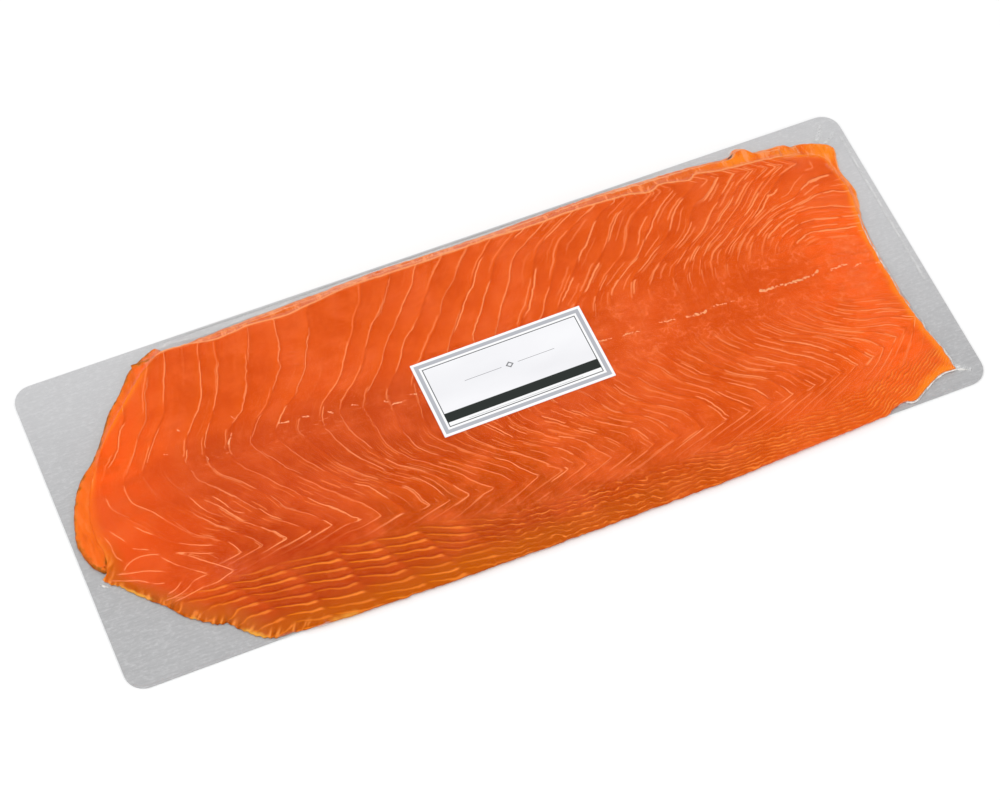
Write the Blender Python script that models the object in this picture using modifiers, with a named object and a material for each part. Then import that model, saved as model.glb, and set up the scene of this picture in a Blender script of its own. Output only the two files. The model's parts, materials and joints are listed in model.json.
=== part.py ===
"""A side of sliced smoked salmon on its silver card, with a printed sticker on top.

The side lies along X. Its belly edge is the near edge (-Y), its back edge the far one (+Y).
Three lower slices lie on the card, one on another. The broad top slice covers them and comes
down over their thin hidden edges to the card. Points written without a unit are millimetres
from the card's left near corner, with x to the right and y away.
"""

import bmesh
import bpy
import numpy as np

MM = 0.001

# Card
CARD_LENGTH = 563 * MM
CARD_WIDTH = 220 * MM
CARD_THICKNESS = 1.0 * MM
CARD_CORNER = 12 * MM
CORNER_STEPS = 6

# Slices
SLICE = 2.8 * MM
GAP = 0.3 * MM
STEP = SLICE + GAP
ON_CARD = CARD_THICKNESS + GAP
BELLY_OVERHANG = 5.5 * MM
EDGE_ROUND = 3.0 * MM
EDGE_FIRST = 1.0 * MM
EDGE_HEIGHT = 0.35
THINNEST = 0.5 * MM

# How far apart the back edges of the slices lie, one above another
BACK_SETBACK = 2.9 * MM
BACK_WAVE = 0.8 * MM

# The belly's ripples: a crest on every other row of the top slice
RIPPLE_ROWS = 15
RIPPLE_BAND = 46 * MM
RIPPLE_HEIGHT = 0.45 * MM

# The top slice's mesh: its width and length as its rows and columns measure them
WIDTH = 195 * MM
LENGTH = 560 * MM
PLAIN_ROWS = 11
COLUMNS = 40

# Where the top slice comes down, measured in from its belly edge and its two ends: at the
# first distance it leaves the lower level, at the second it is at full height
LOWEST_RISE = (-2 * MM, 20 * MM)
BELLY_RISE = (22 * MM, 62 * MM)
LEFT_RISE = (52 * MM, 112 * MM)
RIGHT_RISE = (6 * MM, 46 * MM)

# Sticker
STICKER_LENGTH = 114 * MM
STICKER_WIDTH = 55 * MM
STICKER_THICKNESS = 0.3 * MM
STICKER_CENTRE = (287.6, 109.9)
STICKER_TURN = np.radians(0.5)

# The origin is under the middle of the whole, which the belly edge makes wider than the card
ORIGIN = np.array([CARD_LENGTH, CARD_WIDTH - BELLY_OVERHANG]) / 2

# Outline of the top slice, as four runs that meet at their ends
LEFT_END = ((8.5, 74.5), (13, 80), (15.5, 92), (14, 105), (16, 118), (22, 134), (31.6, 150))
BACK_EDGE = (
    (31.6, 150), (42.6, 164.4), (53.6, 176.5), (64.6, 187.5), (75.6, 197.4), (85.5, 204),
    (93.2, 207.3), (108.6, 206.2), (129.8, 203), (151.5, 204.7), (173.5, 202.8), (195.5, 205.4),
    (217.5, 207.6), (261.5, 206.9), (305.5, 207.6), (338.5, 206.5), (371.5, 206.9), (404.5, 205.4),
    (422, 202.1), (431, 204.7), (448.5, 201), (455, 203.2), (470.5, 199.9), (493, 197.5),
    (508.5, 196.3), (524, 194.7), (535.4, 190.8), (541, 185.3),
)
RIGHT_END = (
    (546, 13), (544.4, 24), (541.3, 41.3), (539.4, 57.7), (538, 75.3), (538, 106), (538.7, 123.7),
    (541, 137), (543, 148), (544.2, 159), (543, 172), (541, 185.3),
)
BELLY_EDGE = (
    (8.5, 74.5), (21.2, 61.6), (30, 51.7), (38.8, 42.9), (45.4, 34), (54, 26.4), (61, 21),
    (67.4, 19), (72, 13.5), (80.6, 5), (90, 0), (110, -1), (132, -3), (220, -5), (286, -5.5),
    (374, -5), (440, -3), (488, -1), (495, 1), (504, 3), (511, 1.7), (517, 4.5), (528, 10), (537, 13),
    (546, 13),
)

# The lowest slice's outline where it shows: left end, back edge with a small lobe, right end
LOWEST_LEFT = (
    (20, 92), (10, 86), (4.7, 96.8), (2.5, 103.4), (5.8, 117.7), (12.4, 134.2), (19, 144),
    (28.9, 152.9), (36.6, 161.7), (43.2, 171.6), (49.8, 181.5), (58.6, 190.3), (65.2, 198),
    (71.8, 205.7), (78.4, 210), (91.6, 215.4), (97, 212),
)
LOWEST_BACK = (
    (109, 211.3), (131, 212.8), (175, 214.6), (208, 215.7), (241, 216.8), (307, 216.1),
    (351, 217.2), (395, 217.6), (439, 215.7), (461, 214.4), (482, 212),
)
LOWEST_RIGHT = (
    (488, 216), (494, 215.6), (498, 210.6), (505, 209.1), (519.5, 208), (523.5, 204.7),
    (533.8, 203.6), (542.6, 200.3), (549.2, 195.9), (551.4, 191), (548, 181), (547, 171.7),
    (549.2, 160.7), (547, 147.5), (543.7, 138.7), (541.5, 125.5), (540.4, 108), (540.4, 77),
    (541, 64), (534, 56),
)
LOWEST_HIDDEN = ((525, 24), (300, 24), (112, 24))


def smoothstep(value):
    value = np.clip(value, 0, 1)
    return value * value * (3 - 2 * value)


def ramp(distance, first_and_second):
    """0 up to the first distance, 1 from the second on."""
    first, second = first_and_second
    return smoothstep((distance - first) / (second - first))


def smooth_curve(points):
    """Close points in metres along a smooth curve through points in millimetres."""
    given = np.array(points, float) * MM
    ends = np.vstack([2 * given[0] - given[1], given, 2 * given[-1] - given[-2]])
    t = np.linspace(0, 1, 12, endpoint=False)[:, None]
    pieces = []
    for a, b, c, d in zip(ends[:-3], ends[1:-2], ends[2:-1], ends[3:]):
        even = 2 * b + (c - a) * t
        bent = (2 * a - 5 * b + 4 * c - d) * t**2 + (3 * b - a - 3 * c + d) * t**3
        pieces.append(0.5 * (even + bent))
    return np.vstack(pieces + [given[-1:]])


def along_curve(curve, fractions):
    """Points at these fractions of a curve's length."""
    lengths = np.linalg.norm(np.diff(curve, axis=0), axis=1)
    travelled = np.concatenate([[0], np.cumsum(lengths)])
    at = np.asarray(fractions) * travelled[-1]
    return np.column_stack([np.interp(at, travelled, curve[:, axis]) for axis in (0, 1)])


def patch(us, vs):
    """Points that fill the top slice's four runs: columns along u, rows along v."""
    near, far = smooth_curve(BELLY_EDGE), smooth_curve(BACK_EDGE)
    left, right = smooth_curve(LEFT_END), smooth_curve(RIGHT_END)
    u, v = us[:, None, None], vs[None, :, None]
    across = (1 - v) * along_curve(near, us)[:, None] + v * along_curve(far, us)[:, None]
    along = (1 - u) * along_curve(left, vs)[None] + u * along_curve(right, vs)[None]
    corners = (1 - u) * ((1 - v) * near[0] + v * far[0]) + u * ((1 - v) * near[-1] + v * far[-1])
    return across + along - corners


def edged(length, inner):
    """Distances from 0 to length with two close ones at each end, for a rounded edge."""
    rim = np.array([0, EDGE_FIRST])
    return np.concatenate([rim, inner, length - rim[::-1]])


def rows_and_columns():
    """How far the top slice's columns lie from its left end, and its rows from its belly."""
    columns = edged(LENGTH, np.linspace(EDGE_ROUND, LENGTH - EDGE_ROUND, COLUMNS))
    ripples = np.linspace(EDGE_ROUND, RIPPLE_BAND, RIPPLE_ROWS, endpoint=False)
    plain = np.linspace(RIPPLE_BAND, WIDTH - EDGE_ROUND, PLAIN_ROWS + 1)
    return columns, edged(WIDTH, np.concatenate([ripples, plain]))


def bed_height(columns, rows):
    """Height of the top slice's underside: over the lower slices, and down to the card."""
    ends = ramp(columns, LEFT_RISE) * ramp(LENGTH - columns, RIGHT_RISE)
    upper = np.minimum(ends[:, None], ramp(rows, BELLY_RISE)[None])
    return ON_CARD + STEP * ramp(rows, LOWEST_RISE)[None] + 2 * STEP * upper


def rounded(distance):
    """The quarter-round profile of a top rim, as a share of the slice's thickness."""
    inside = np.clip(distance / EDGE_ROUND, 0, 1)
    return EDGE_HEIGHT + (1 - EDGE_HEIGHT) * np.sqrt(1 - (1 - inside) ** 2)


def ripple_height(columns, rows):
    """A crest on every other row of the belly, fading inwards and to the two ends."""
    wave = np.arange(len(rows)) - 2
    crest = (wave % 2 == 1) & (wave > 0) & (wave < RIPPLE_ROWS)
    inwards = smoothstep((RIPPLE_ROWS - wave) / 5) * crest
    lengthways = smoothstep(columns / (70 * MM)) * smoothstep((LENGTH - columns) / (28 * MM))
    uneven = 0.75 + 0.25 * np.sin(columns[:, None] / (24 * MM) + 1.7 * wave[None])
    return RIPPLE_HEIGHT * uneven * lengthways[:, None] * inwards[None]


def material(name, colour, roughness, metallic=0.0):
    made = bpy.data.materials.new(name)
    made.use_nodes = True
    shader = made.node_tree.nodes["Principled BSDF"]
    shader.inputs["Base Color"].default_value = (*colour, 1)
    shader.inputs["Roughness"].default_value = roughness
    shader.inputs["Metallic"].default_value = metallic
    return made


def place(name, form, finish, collection):
    """Makes an object of the finished form, with its own material."""
    mesh = bpy.data.meshes.new(name)
    form.to_mesh(mesh)
    form.free()
    mesh.materials.append(finish)
    made = bpy.data.objects.new(name, mesh)
    collection.objects.link(made)
    return made


def card():
    form = bmesh.new()
    bmesh.ops.create_cube(form, size=1)
    bmesh.ops.scale(form, vec=(CARD_LENGTH, CARD_WIDTH, CARD_THICKNESS), verts=form.verts)
    upright = [e for e in form.edges if abs(e.verts[0].co.z - e.verts[1].co.z) > CARD_THICKNESS / 2]
    bmesh.ops.bevel(
        form, geom=upright, offset=CARD_CORNER, segments=CORNER_STEPS, profile=0.5, affect="EDGES"
    )
    x, y = np.array([CARD_LENGTH, CARD_WIDTH]) / 2 - ORIGIN
    bmesh.ops.translate(form, vec=(x, y, CARD_THICKNESS / 2), verts=form.verts)
    return form


def sheet(points, underside, topside):
    """A closed slice: a grid moved to the underside, then extruded up to the topside."""
    column_count, row_count = underside.shape
    form = bmesh.new()
    bmesh.ops.create_grid(form, x_segments=column_count - 1, y_segments=row_count - 1, size=1)
    thickness = {}
    for vertex in form.verts:
        i = round((vertex.co.x + 1) / 2 * (column_count - 1))
        j = round((vertex.co.y + 1) / 2 * (row_count - 1))
        vertex.co = (*(points[i, j] - ORIGIN), underside[i, j])
        thickness[tuple(vertex.co)] = topside[i, j] - underside[i, j]
    raised = bmesh.ops.extrude_face_region(form, geom=form.faces, use_keep_orig=True)
    for vertex in [item for item in raised["geom"] if isinstance(item, bmesh.types.BMVert)]:
        vertex.co.z += thickness[tuple(vertex.co)]
    bmesh.ops.recalc_face_normals(form, faces=form.faces)
    bmesh.ops.triangulate(form, faces=form.faces, quad_method="ALTERNATE")
    return form


def top_slice(columns, rows):
    """The broad slice: rounded along its outline, with the belly's ripples."""
    underside = bed_height(columns, rows)
    from_end = np.minimum(columns, LENGTH - columns)[:, None]
    from_side = np.minimum(rows, WIDTH - rows)[None]
    topside = underside + SLICE * rounded(np.minimum(from_end, from_side))
    return sheet(patch(columns / LENGTH, rows / WIDTH), underside, topside + ripple_height(columns, rows))


def middle_slice(columns, rows, level):
    """A slice between the lowest and the top one: flat, with thin hidden edges and a back rim
    that shows."""
    floor = ON_CARD + level * STEP
    room = bed_height(columns, rows) - GAP - floor
    middle_row, middle_column = len(rows) * 2 // 3, len(columns) // 2
    kept_columns = np.flatnonzero(room[:, middle_row] > THINNEST)
    kept_rows = np.flatnonzero((room[middle_column] > THINNEST) & (rows < WIDTH - EDGE_ROUND - MM))
    points = patch(columns / LENGTH, rows / WIDTH)
    back = smooth_curve(LOWEST_LEFT[-1:] + LOWEST_BACK + LOWEST_RIGHT[:6])
    rim = points[kept_columns, -1]
    wave = BACK_WAVE * np.sin(rim[:, 0] / (29 * MM) + 2 * level) * np.sin(rim[:, 0] / (67 * MM))
    shown_y = np.interp(rim[:, 0], back[:, 0], back[:, 1]) - level * BACK_SETBACK + wave
    shown_y = np.maximum(shown_y, rim[:, 1] + MM)
    edge = np.column_stack([rim[:, 0], shown_y])
    shoulder = edge - (0, EDGE_FIRST)
    inner = points[np.ix_(kept_columns, kept_rows)]
    inner_room = np.minimum(room[np.ix_(kept_columns, kept_rows)], SLICE)
    points = np.concatenate([inner, shoulder[:, None], edge[:, None]], axis=1)
    rim_room = inner_room[:, -1:]
    thickness = np.concatenate([inner_room, rim_room, rim_room * 0.6], axis=1)
    underside = np.full(thickness.shape, floor)
    return sheet(points, underside, underside + thickness)


def lowest_slice():
    """The flat slice on the card: its outline as a filled curve, extruded."""
    outline = np.array(LOWEST_LEFT + LOWEST_BACK + LOWEST_RIGHT + LOWEST_HIDDEN) * MM
    curve = bpy.data.curves.new("lowest outline", "CURVE")
    curve.dimensions = "2D"
    curve.fill_mode = "BOTH"
    curve.extrude = SLICE / 2
    spline = curve.splines.new("POLY")
    spline.points.add(len(outline) - 1)
    spline.use_cyclic_u = True
    for point, (x, y) in zip(spline.points, outline - ORIGIN):
        point.co = (x, y, 0, 1)
    drawn = bpy.data.objects.new("lowest outline", curve)
    bpy.context.scene.collection.objects.link(drawn)
    mesh = bpy.data.meshes.new_from_object(drawn.evaluated_get(bpy.context.evaluated_depsgraph_get()))
    bpy.data.objects.remove(drawn)
    form = bmesh.new()
    form.from_mesh(mesh)
    bmesh.ops.remove_doubles(form, verts=form.verts, dist=0.01 * MM)
    bmesh.ops.translate(form, vec=(0, 0, ON_CARD + SLICE / 2), verts=form.verts)
    bmesh.ops.recalc_face_normals(form, faces=form.faces)
    return form


def round_rims(made):
    bevel = made.modifiers.new("rounded rims", "BEVEL")
    bevel.width = 0.8 * MM
    bevel.segments = 1
    bevel.limit_method = "ANGLE"
    bevel.angle_limit = np.radians(60)


def sticker():
    form = bmesh.new()
    bmesh.ops.create_cube(form, size=1)
    bmesh.ops.scale(form, vec=(STICKER_LENGTH, STICKER_WIDTH, STICKER_THICKNESS), verts=form.verts)
    cos, sin = np.cos(STICKER_TURN), np.sin(STICKER_TURN)
    x, y = np.array(STICKER_CENTRE) * MM - ORIGIN
    height = ON_CARD + 3 * STEP + SLICE + GAP + STICKER_THICKNESS / 2
    for vertex in form.verts:
        along, across = vertex.co.x, vertex.co.y
        vertex.co.x = x + along * cos - across * sin
        vertex.co.y = y + along * sin + across * cos
        vertex.co.z += height
    return form


def main():
    for old in list(bpy.data.objects):
        bpy.data.objects.remove(old)
    pack = bpy.data.collections.new("sliced_smoked_salmon")
    bpy.context.scene.collection.children.link(pack)

    place("silver_card", card(), material("silver board", (0.55, 0.56, 0.57), 0.35, 0.6), pack)

    columns, rows = rows_and_columns()
    flesh = material("salmon, lower slices", (0.72, 0.16, 0.02), 0.4)
    round_rims(place("lowest_slice", lowest_slice(), flesh, pack))
    place("third_slice", middle_slice(columns, rows, 1), flesh.copy(), pack)
    place("second_slice", middle_slice(columns, rows, 2), flesh.copy(), pack)
    place("top_slice", top_slice(columns, rows), material("salmon, top slice", (0.8, 0.14, 0.015), 0.3), pack)

    place("sticker", sticker(), material("printed paper", (0.8, 0.8, 0.82), 0.3), pack)


main()
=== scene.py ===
# %% [markdown]
# # A side of sliced smoked salmon on its silver card
#
# The real thing is a salmon side cut into broad thin slices. They are laid back on one another
# on a stiff foil-faced card, and a printed sticker goes on top. This script dresses the packed
# CAD model of it. The frame gives the solids, which fix every size. Each cell below adds the
# looks of one piece.

import json
import math

import bmesh
import bpy
import numpy as np
from mathutils import Matrix, Vector, kdtree
from mathutils.geometry import tessellate_polygon

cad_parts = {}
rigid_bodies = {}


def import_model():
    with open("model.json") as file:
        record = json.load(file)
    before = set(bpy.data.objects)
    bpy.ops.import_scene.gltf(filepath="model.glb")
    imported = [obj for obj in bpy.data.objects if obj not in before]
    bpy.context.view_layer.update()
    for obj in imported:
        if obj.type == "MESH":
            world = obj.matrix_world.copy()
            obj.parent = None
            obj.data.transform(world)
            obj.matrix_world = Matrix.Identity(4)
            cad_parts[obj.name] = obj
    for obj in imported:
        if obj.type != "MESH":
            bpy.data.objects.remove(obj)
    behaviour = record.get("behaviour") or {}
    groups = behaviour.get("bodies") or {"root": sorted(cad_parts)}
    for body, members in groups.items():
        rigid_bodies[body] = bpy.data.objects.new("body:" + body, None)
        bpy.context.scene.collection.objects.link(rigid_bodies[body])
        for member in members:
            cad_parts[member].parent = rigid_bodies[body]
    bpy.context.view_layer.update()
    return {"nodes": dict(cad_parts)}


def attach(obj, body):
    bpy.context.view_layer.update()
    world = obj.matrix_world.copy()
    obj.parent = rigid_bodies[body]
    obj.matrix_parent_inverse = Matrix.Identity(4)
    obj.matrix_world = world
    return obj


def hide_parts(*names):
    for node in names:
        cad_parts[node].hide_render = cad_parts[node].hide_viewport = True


for old in list(bpy.data.objects):
    bpy.data.objects.remove(old)
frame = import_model()
MM = 0.001
print("solids:", sorted(frame["nodes"]))

# %% [markdown]
# ## The camera
#
# The four corners of the card in the photograph fix where the camera stood, how it was turned
# and how long its lens was. The turn is kept as the three directions of the camera's own axes,
# because a slight roll is easy to lose in angles.

# %% Camera
LENS = 107.748
SENSOR_WIDTH = 36
CAMERA_PLACE = (-0.42111, -0.86203, 1.57326)
CAMERA_AXES = (
    (0.91794951, 0.32610976, -0.22587857),
    (-0.39578005, 0.79156409, -0.46560116),
    (0.02696029, 0.51679659, 0.8556836),
)


def stand(name, data):
    """A new object in the scene, from its mesh, light or camera."""
    made = bpy.data.objects.new(name, data)
    bpy.context.scene.collection.objects.link(made)
    return made


camera = stand("camera", bpy.data.cameras.new("camera"))
camera.data.lens = LENS
camera.data.sensor_width = SENSOR_WIDTH
camera.matrix_world = Matrix.Translation(CAMERA_PLACE) @ Matrix(CAMERA_AXES).to_4x4()
bpy.context.scene.camera = camera
print("camera height", camera.location.z, "m")

# %% [markdown]
# ## Floor and light
#
# The photograph is a plain product shot: white ground, even light from large soft sources. A
# pale floor, a bright world and two big area lights give the same. The view transform is
# Standard, because a filmic one turns a strong orange pale and red.

# %% Floor and light
FLOOR_HALF = 6.0
FLOOR_HEIGHT = -0.0003
WORLD_STRENGTH = 0.83
LIGHT_SIZE = 2.2


def area_light(name, place, power):
    """A round soft light that looks at the middle of the pack."""
    light = bpy.data.lights.new(name, "AREA")
    light.shape = "DISK"
    light.size = LIGHT_SIZE
    light.energy = power
    made = stand(name, light)
    made.location = place
    made.rotation_euler = (-Vector(place)).to_track_quat("-Z", "Y").to_euler()


floor_mesh = bpy.data.meshes.new("floor")
h, z = FLOOR_HALF, FLOOR_HEIGHT
floor_mesh.from_pydata([(-h, -h, z), (h, -h, z), (h, h, z), (-h, h, z)], [], [(0, 1, 2, 3)])
stand("floor", floor_mesh)

world = bpy.data.worlds.new("studio")
world.use_nodes = True
background = world.node_tree.nodes["Background"]
background.inputs["Color"].default_value = (1, 1, 1, 1)
background.inputs["Strength"].default_value = WORLD_STRENGTH
bpy.context.scene.world = world
area_light("overhead softbox", (-1.3, -0.2, 2.2), 18)
area_light("front fill", (1.2, -2.2, 1.5), 12)
bpy.context.scene.view_settings.view_transform = "Standard"

# %% [markdown]
# ## Shader sums as Python
#
# A material here is built from nodes, but its sums are easier to read as Python. `Wire` wraps
# one output socket. Adding, multiplying or comparing wires adds the Math node that does it.
# `Finish` is one material: its `node` method adds any other node, settings first, then sockets.


# %% Wires and finishes
class Wire:
    """An output socket that takes part in sums."""

    def __init__(self, finish, socket):
        self.finish, self.socket = finish, socket

    def math(self, operation, *others):
        return self.finish.math(operation, self, *others)

    def above(self, low, high):
        """0 below low, 1 above high, smooth between."""
        return self.finish.step(self, low, high)

    def below(self, low, high):
        """1 below low, 0 above high, smooth between."""
        return 1 - self.above(low, high)

    def floor(self):
        return self.math("FLOOR")

    def larger(self, other):
        return self.math("MAXIMUM", other)

    def smaller(self, other):
        return self.math("MINIMUM", other)

    def __abs__(self):
        return self.math("ABSOLUTE")

    def __add__(self, other):
        return self.math("ADD", other)

    def __radd__(self, other):
        return self.finish.math("ADD", other, self)

    def __sub__(self, other):
        return self.math("SUBTRACT", other)

    def __rsub__(self, other):
        return self.finish.math("SUBTRACT", other, self)

    def __mul__(self, other):
        return self.math("MULTIPLY", other)

    def __truediv__(self, other):
        return self.math("DIVIDE", other)


class Finish:
    """One node material, with its Principled shader ready."""

    def __init__(self, name, **constants):
        self.material = bpy.data.materials.new(name)
        self.material.use_nodes = True
        self.tree = self.material.node_tree
        self.shader = self.tree.nodes["Principled BSDF"]
        self.tone = None
        for socket, value in constants.items():
            self.shader.inputs[socket.replace("_", " ")].default_value = value

    def plug(self, value, socket):
        if isinstance(value, Wire):
            self.tree.links.new(value.socket, socket)
        elif isinstance(value, tuple) and len(value) == 3 and socket.type == "RGBA":
            socket.default_value = (*value, 1)
        else:
            socket.default_value = value

    def node(self, kind, settings=None, sockets=None, output=0):
        made = self.tree.nodes.new(kind)
        for name, value in (settings or {}).items():
            setattr(made, name, value)
        for name, value in (sockets or {}).items():
            self.plug(value, made.inputs[name])
        return Wire(self, made.outputs[output])

    def math(self, operation, *values):
        return self.node("ShaderNodeMath", {"operation": operation}, dict(enumerate(values)))

    def step(self, value, low, high):
        """0 below low, 1 above high, smooth between."""
        settings = {"interpolation_type": "SMOOTHSTEP"}
        sockets = {"Value": value, "From Min": low, "From Max": high}
        return self.node("ShaderNodeMapRange", settings, sockets)

    def mix(self, share, first, second):
        settings = {"data_type": "RGBA", "clamp_factor": True}
        return self.node("ShaderNodeMix", settings, {0: share, 6: first, 7: second}, 2)

    def tint(self, share, *colour):
        """Lays a share of a screen colour over the tone so far."""
        self.tone = self.mix(share, self.tone, srgb(*colour))

    def attribute(self, name):
        return self.node("ShaderNodeAttribute", {"attribute_name": name}, output="Fac")

    def coordinates(self, scale=(1, 1, 1), location=(0, 0, 0), turn=0.0):
        """Object coordinates, moved, turned about Z and scaled by a Mapping node."""
        start = self.node("ShaderNodeTexCoord", output="Object")
        sockets = {"Vector": start, "Scale": scale, "Location": location, "Rotation": (0, 0, turn)}
        return self.node("ShaderNodeMapping", {}, sockets)

    def axes(self, vector):
        split = self.node("ShaderNodeSeparateXYZ", {}, {"Vector": vector}).socket.node
        return [Wire(self, split.outputs[axis]) for axis in "XYZ"]

    def point(self, x, y, z):
        return self.node("ShaderNodeCombineXYZ", {}, {"X": x, "Y": y, "Z": z})

    def noise(self, vector, scale, detail=2.0, roughness=0.5):
        sockets = {"Vector": vector, "Scale": scale, "Detail": detail, "Roughness": roughness}
        return self.node("ShaderNodeTexNoise", {}, sockets)

    def dice(self, vector, output=0):
        """A random number for each point, or with output 1 a random colour."""
        return self.node("ShaderNodeTexWhiteNoise", {}, {"Vector": vector}, output)

    def bump(self, height, distance, strength=1.0):
        sockets = {"Height": height, "Distance": distance, "Strength": strength}
        return self.node("ShaderNodeBump", {}, sockets)

    def finish(self, **links):
        for socket, value in links.items():
            self.plug(value, self.shader.inputs[socket.replace("_", " ")])
        return self.material


def srgb(red, green, blue):
    """A colour as a screen shows it, 0 to 255, as the linear numbers that a shader takes."""
    shares = np.array([red, green, blue]) / 255
    linear = np.where(shares <= 0.04045, shares / 12.92, ((shares + 0.055) / 1.055) ** 2.4)
    return tuple(float(v) for v in linear)


def dress(node, material):
    """Gives a CAD solid its finish in place of the plain one."""
    node.data.materials.clear()
    node.data.materials.append(material)


floor_finish = Finish("pale floor", Roughness=0.8)
mottle = floor_finish.noise(floor_finish.coordinates(), 3.0)
floor_tone = floor_finish.mix(mottle, (0.96, 0.96, 0.96), (0.98, 0.98, 0.98))
floor_mesh.materials.append(floor_finish.finish(Base_Color=floor_tone))
print("floor finish nodes:", len(floor_finish.tree.nodes))

# %% [markdown]
# ## The silver card
#
# It is grey board faced with foil. The CAD solid already has its size, its thickness and its
# round corners, so the solid stays and only gets a finish. The foil is half metal, half
# haze: fine streaks run slantwise across it, and slow dents from handling bend the light.

# %% Card finish
card = Finish("foil-faced board", Metallic=0.55, IOR=1.45)
streaks = card.noise(card.coordinates((60, 900, 60), turn=math.radians(24)), 1.0, 3.0)
dents = card.noise(card.coordinates(), 26.0, 3.0, 0.55)
grain = card.noise(card.coordinates(), 700.0, 2.0)
speckle = card.noise(card.coordinates((1, 2.2, 1), turn=0.9), 330.0, 2.0, 0.7)
card_x, card_y, _ = card.axes(card.coordinates())
# painted light: the foil is drawn darker at the near left and lighter towards the far right, as light
# falls on it
card_painted_light = (card_y + card_x * 0.18).above(-0.10, 0.11)
card_tone = card.mix(card_painted_light, (0.44, 0.44, 0.447), (0.61, 0.61, 0.62))
for share, colour in (
    (streaks.above(0.30, 0.75) * 0.14, (0.80, 0.80, 0.81)),
    # painted shade: the foil is drawn darker where the dents are
    (dents.above(0.5, 0.8) * 0.25, (0.46, 0.46, 0.47)),
    (speckle.above(0.45, 0.75) * 0.22, (0.86, 0.86, 0.87)),
):
    card_tone = card.mix(share, card_tone, colour)
card_relief = streaks * 0.12 + dents * 2.0 + grain * 0.12 + speckle * 0.25
board = card.finish(
    Base_Color=card_tone,
    Roughness=0.42 + grain * 0.12,
    Normal=card.bump(card_relief, 0.0004, 0.5),
)
dress(frame["nodes"]["silver_card"], board)
print("card finish nodes:", len(card.tree.nodes))

# %% [markdown]
# ## Outlines of the slices
#
# These are the named runs of points of the solids' outlines, so the fine meshes fall on the
# solids. Only the near end of LOWEST_LEFT, the crescent, reaches further out than its solid.
# The numbers are millimetres from the card's left near corner, which ORIGIN moves to the
# frame's origin.

# %% Outlines and heights
ORIGIN = np.array([281.5, 107.25]) * MM
SLICE = 2.8 * MM
GAP = 0.3 * MM
STEP = SLICE + GAP
CARD_TOP = 1.0 * MM
ON_CARD = CARD_TOP + GAP
EDGE_ROUND = 3.0 * MM
EDGE_HEIGHT = 0.35
THINNEST = 0.5 * MM
BACK_SETBACK = 2.9 * MM
BACK_WAVE = 0.8 * MM
WIDTH = 195 * MM
LENGTH = 560 * MM
LOWEST_RISE = (-2 * MM, 20 * MM)
BELLY_RISE = (22 * MM, 62 * MM)
LEFT_RISE = (52 * MM, 112 * MM)
RIGHT_RISE = (6 * MM, 46 * MM)
LEFT_END = ((8.5, 74.5), (13, 80), (15.5, 92), (14, 105), (16, 118), (22, 134), (31.6, 150))
BACK_EDGE = (
    (31.6, 150), (42.6, 164.4), (53.6, 176.5), (64.6, 187.5), (75.6, 197.4), (85.5, 204),
    (93.2, 207.3), (108.6, 206.2), (129.8, 203), (151.5, 204.7), (173.5, 202.8), (195.5, 205.4),
    (217.5, 207.6), (261.5, 206.9), (305.5, 207.6), (338.5, 206.5), (371.5, 206.9), (404.5, 205.4),
    (422, 202.1), (431, 204.7), (448.5, 201), (455, 203.2), (470.5, 199.9), (493, 197.5),
    (508.5, 196.3), (524, 194.7), (535.4, 190.8), (541, 185.3),
)
RIGHT_END = (
    (546, 13), (544.4, 24), (541.3, 41.3), (539.4, 57.7), (538, 75.3), (538, 106), (538.7, 123.7),
    (541, 137), (543, 148), (544.2, 159), (543, 172), (541, 185.3),
)
BELLY_EDGE = (
    (8.5, 74.5), (21.2, 61.6), (30, 51.7), (38.8, 42.9), (45.4, 34), (54, 26.4), (61, 21),
    (67.4, 19), (72, 13.5), (80.6, 5), (90, 0), (110, -1), (132, -3), (220, -5), (286, -5.5),
    (374, -5), (440, -3), (488, -1), (495, 1), (504, 3), (511, 1.7), (517, 4.5), (528, 10), (537, 13),
    (546, 13),
)
LOWEST_LEFT = (
    (26, 84), (16, 79), (9.5, 81), (5.6, 88), (3.2, 97), (2.8, 104), (5.8, 117.7), (12.4, 134.2),
    (19, 144), (28.9, 152.9), (36.6, 161.7), (43.2, 171.6), (49.8, 181.5), (58.6, 190.3), (65.2, 198),
    (71.8, 205.7), (78.4, 210), (91.6, 215.4), (97, 212),
)
LOWEST_BACK = (
    (109, 211.3), (131, 212.8), (175, 214.6), (208, 215.7), (241, 216.8), (307, 216.1),
    (351, 217.2), (395, 217.6), (439, 215.7), (461, 214.4), (482, 212),
)
LOWEST_RIGHT = (
    (488, 216), (494, 215.6), (498, 210.6), (505, 209.1), (519.5, 208), (523.5, 204.7),
    (533.8, 203.6), (542.6, 200.3), (549.2, 195.9), (551.4, 191), (548, 181), (547, 171.7),
    (549.2, 160.7), (547, 147.5), (543.7, 138.7), (541.5, 125.5), (540.4, 108), (540.4, 77),
    (541, 64), (534, 56),
)
LOWEST_HIDDEN = ((525, 24), (300, 24), (112, 24))


def smoothstep(value):
    value = np.clip(value, 0, 1)
    return value * value * (3 - 2 * value)


def ramp(distance, first_and_second):
    """0 up to the first distance, 1 from the second on."""
    first, second = first_and_second
    return smoothstep((distance - first) / (second - first))


CURVE_STEPS = 12


def smooth_curve(points, unit=MM, steps=CURVE_STEPS):
    """Close points along a smooth curve through the given ones."""
    given = np.array(points, float) * unit
    ends = np.vstack([2 * given[0] - given[1], given, 2 * given[-1] - given[-2]])
    t = np.linspace(0, 1, steps, endpoint=False)[:, None]
    pieces = []
    for a, b, c, d in zip(ends[:-3], ends[1:-2], ends[2:-1], ends[3:]):
        even = 2 * b + (c - a) * t
        bent = (2 * a - 5 * b + 4 * c - d) * t**2 + (3 * b - a - 3 * c + d) * t**3
        pieces.append(0.5 * (even + bent))
    return np.vstack(pieces + [given[-1:]])


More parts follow.
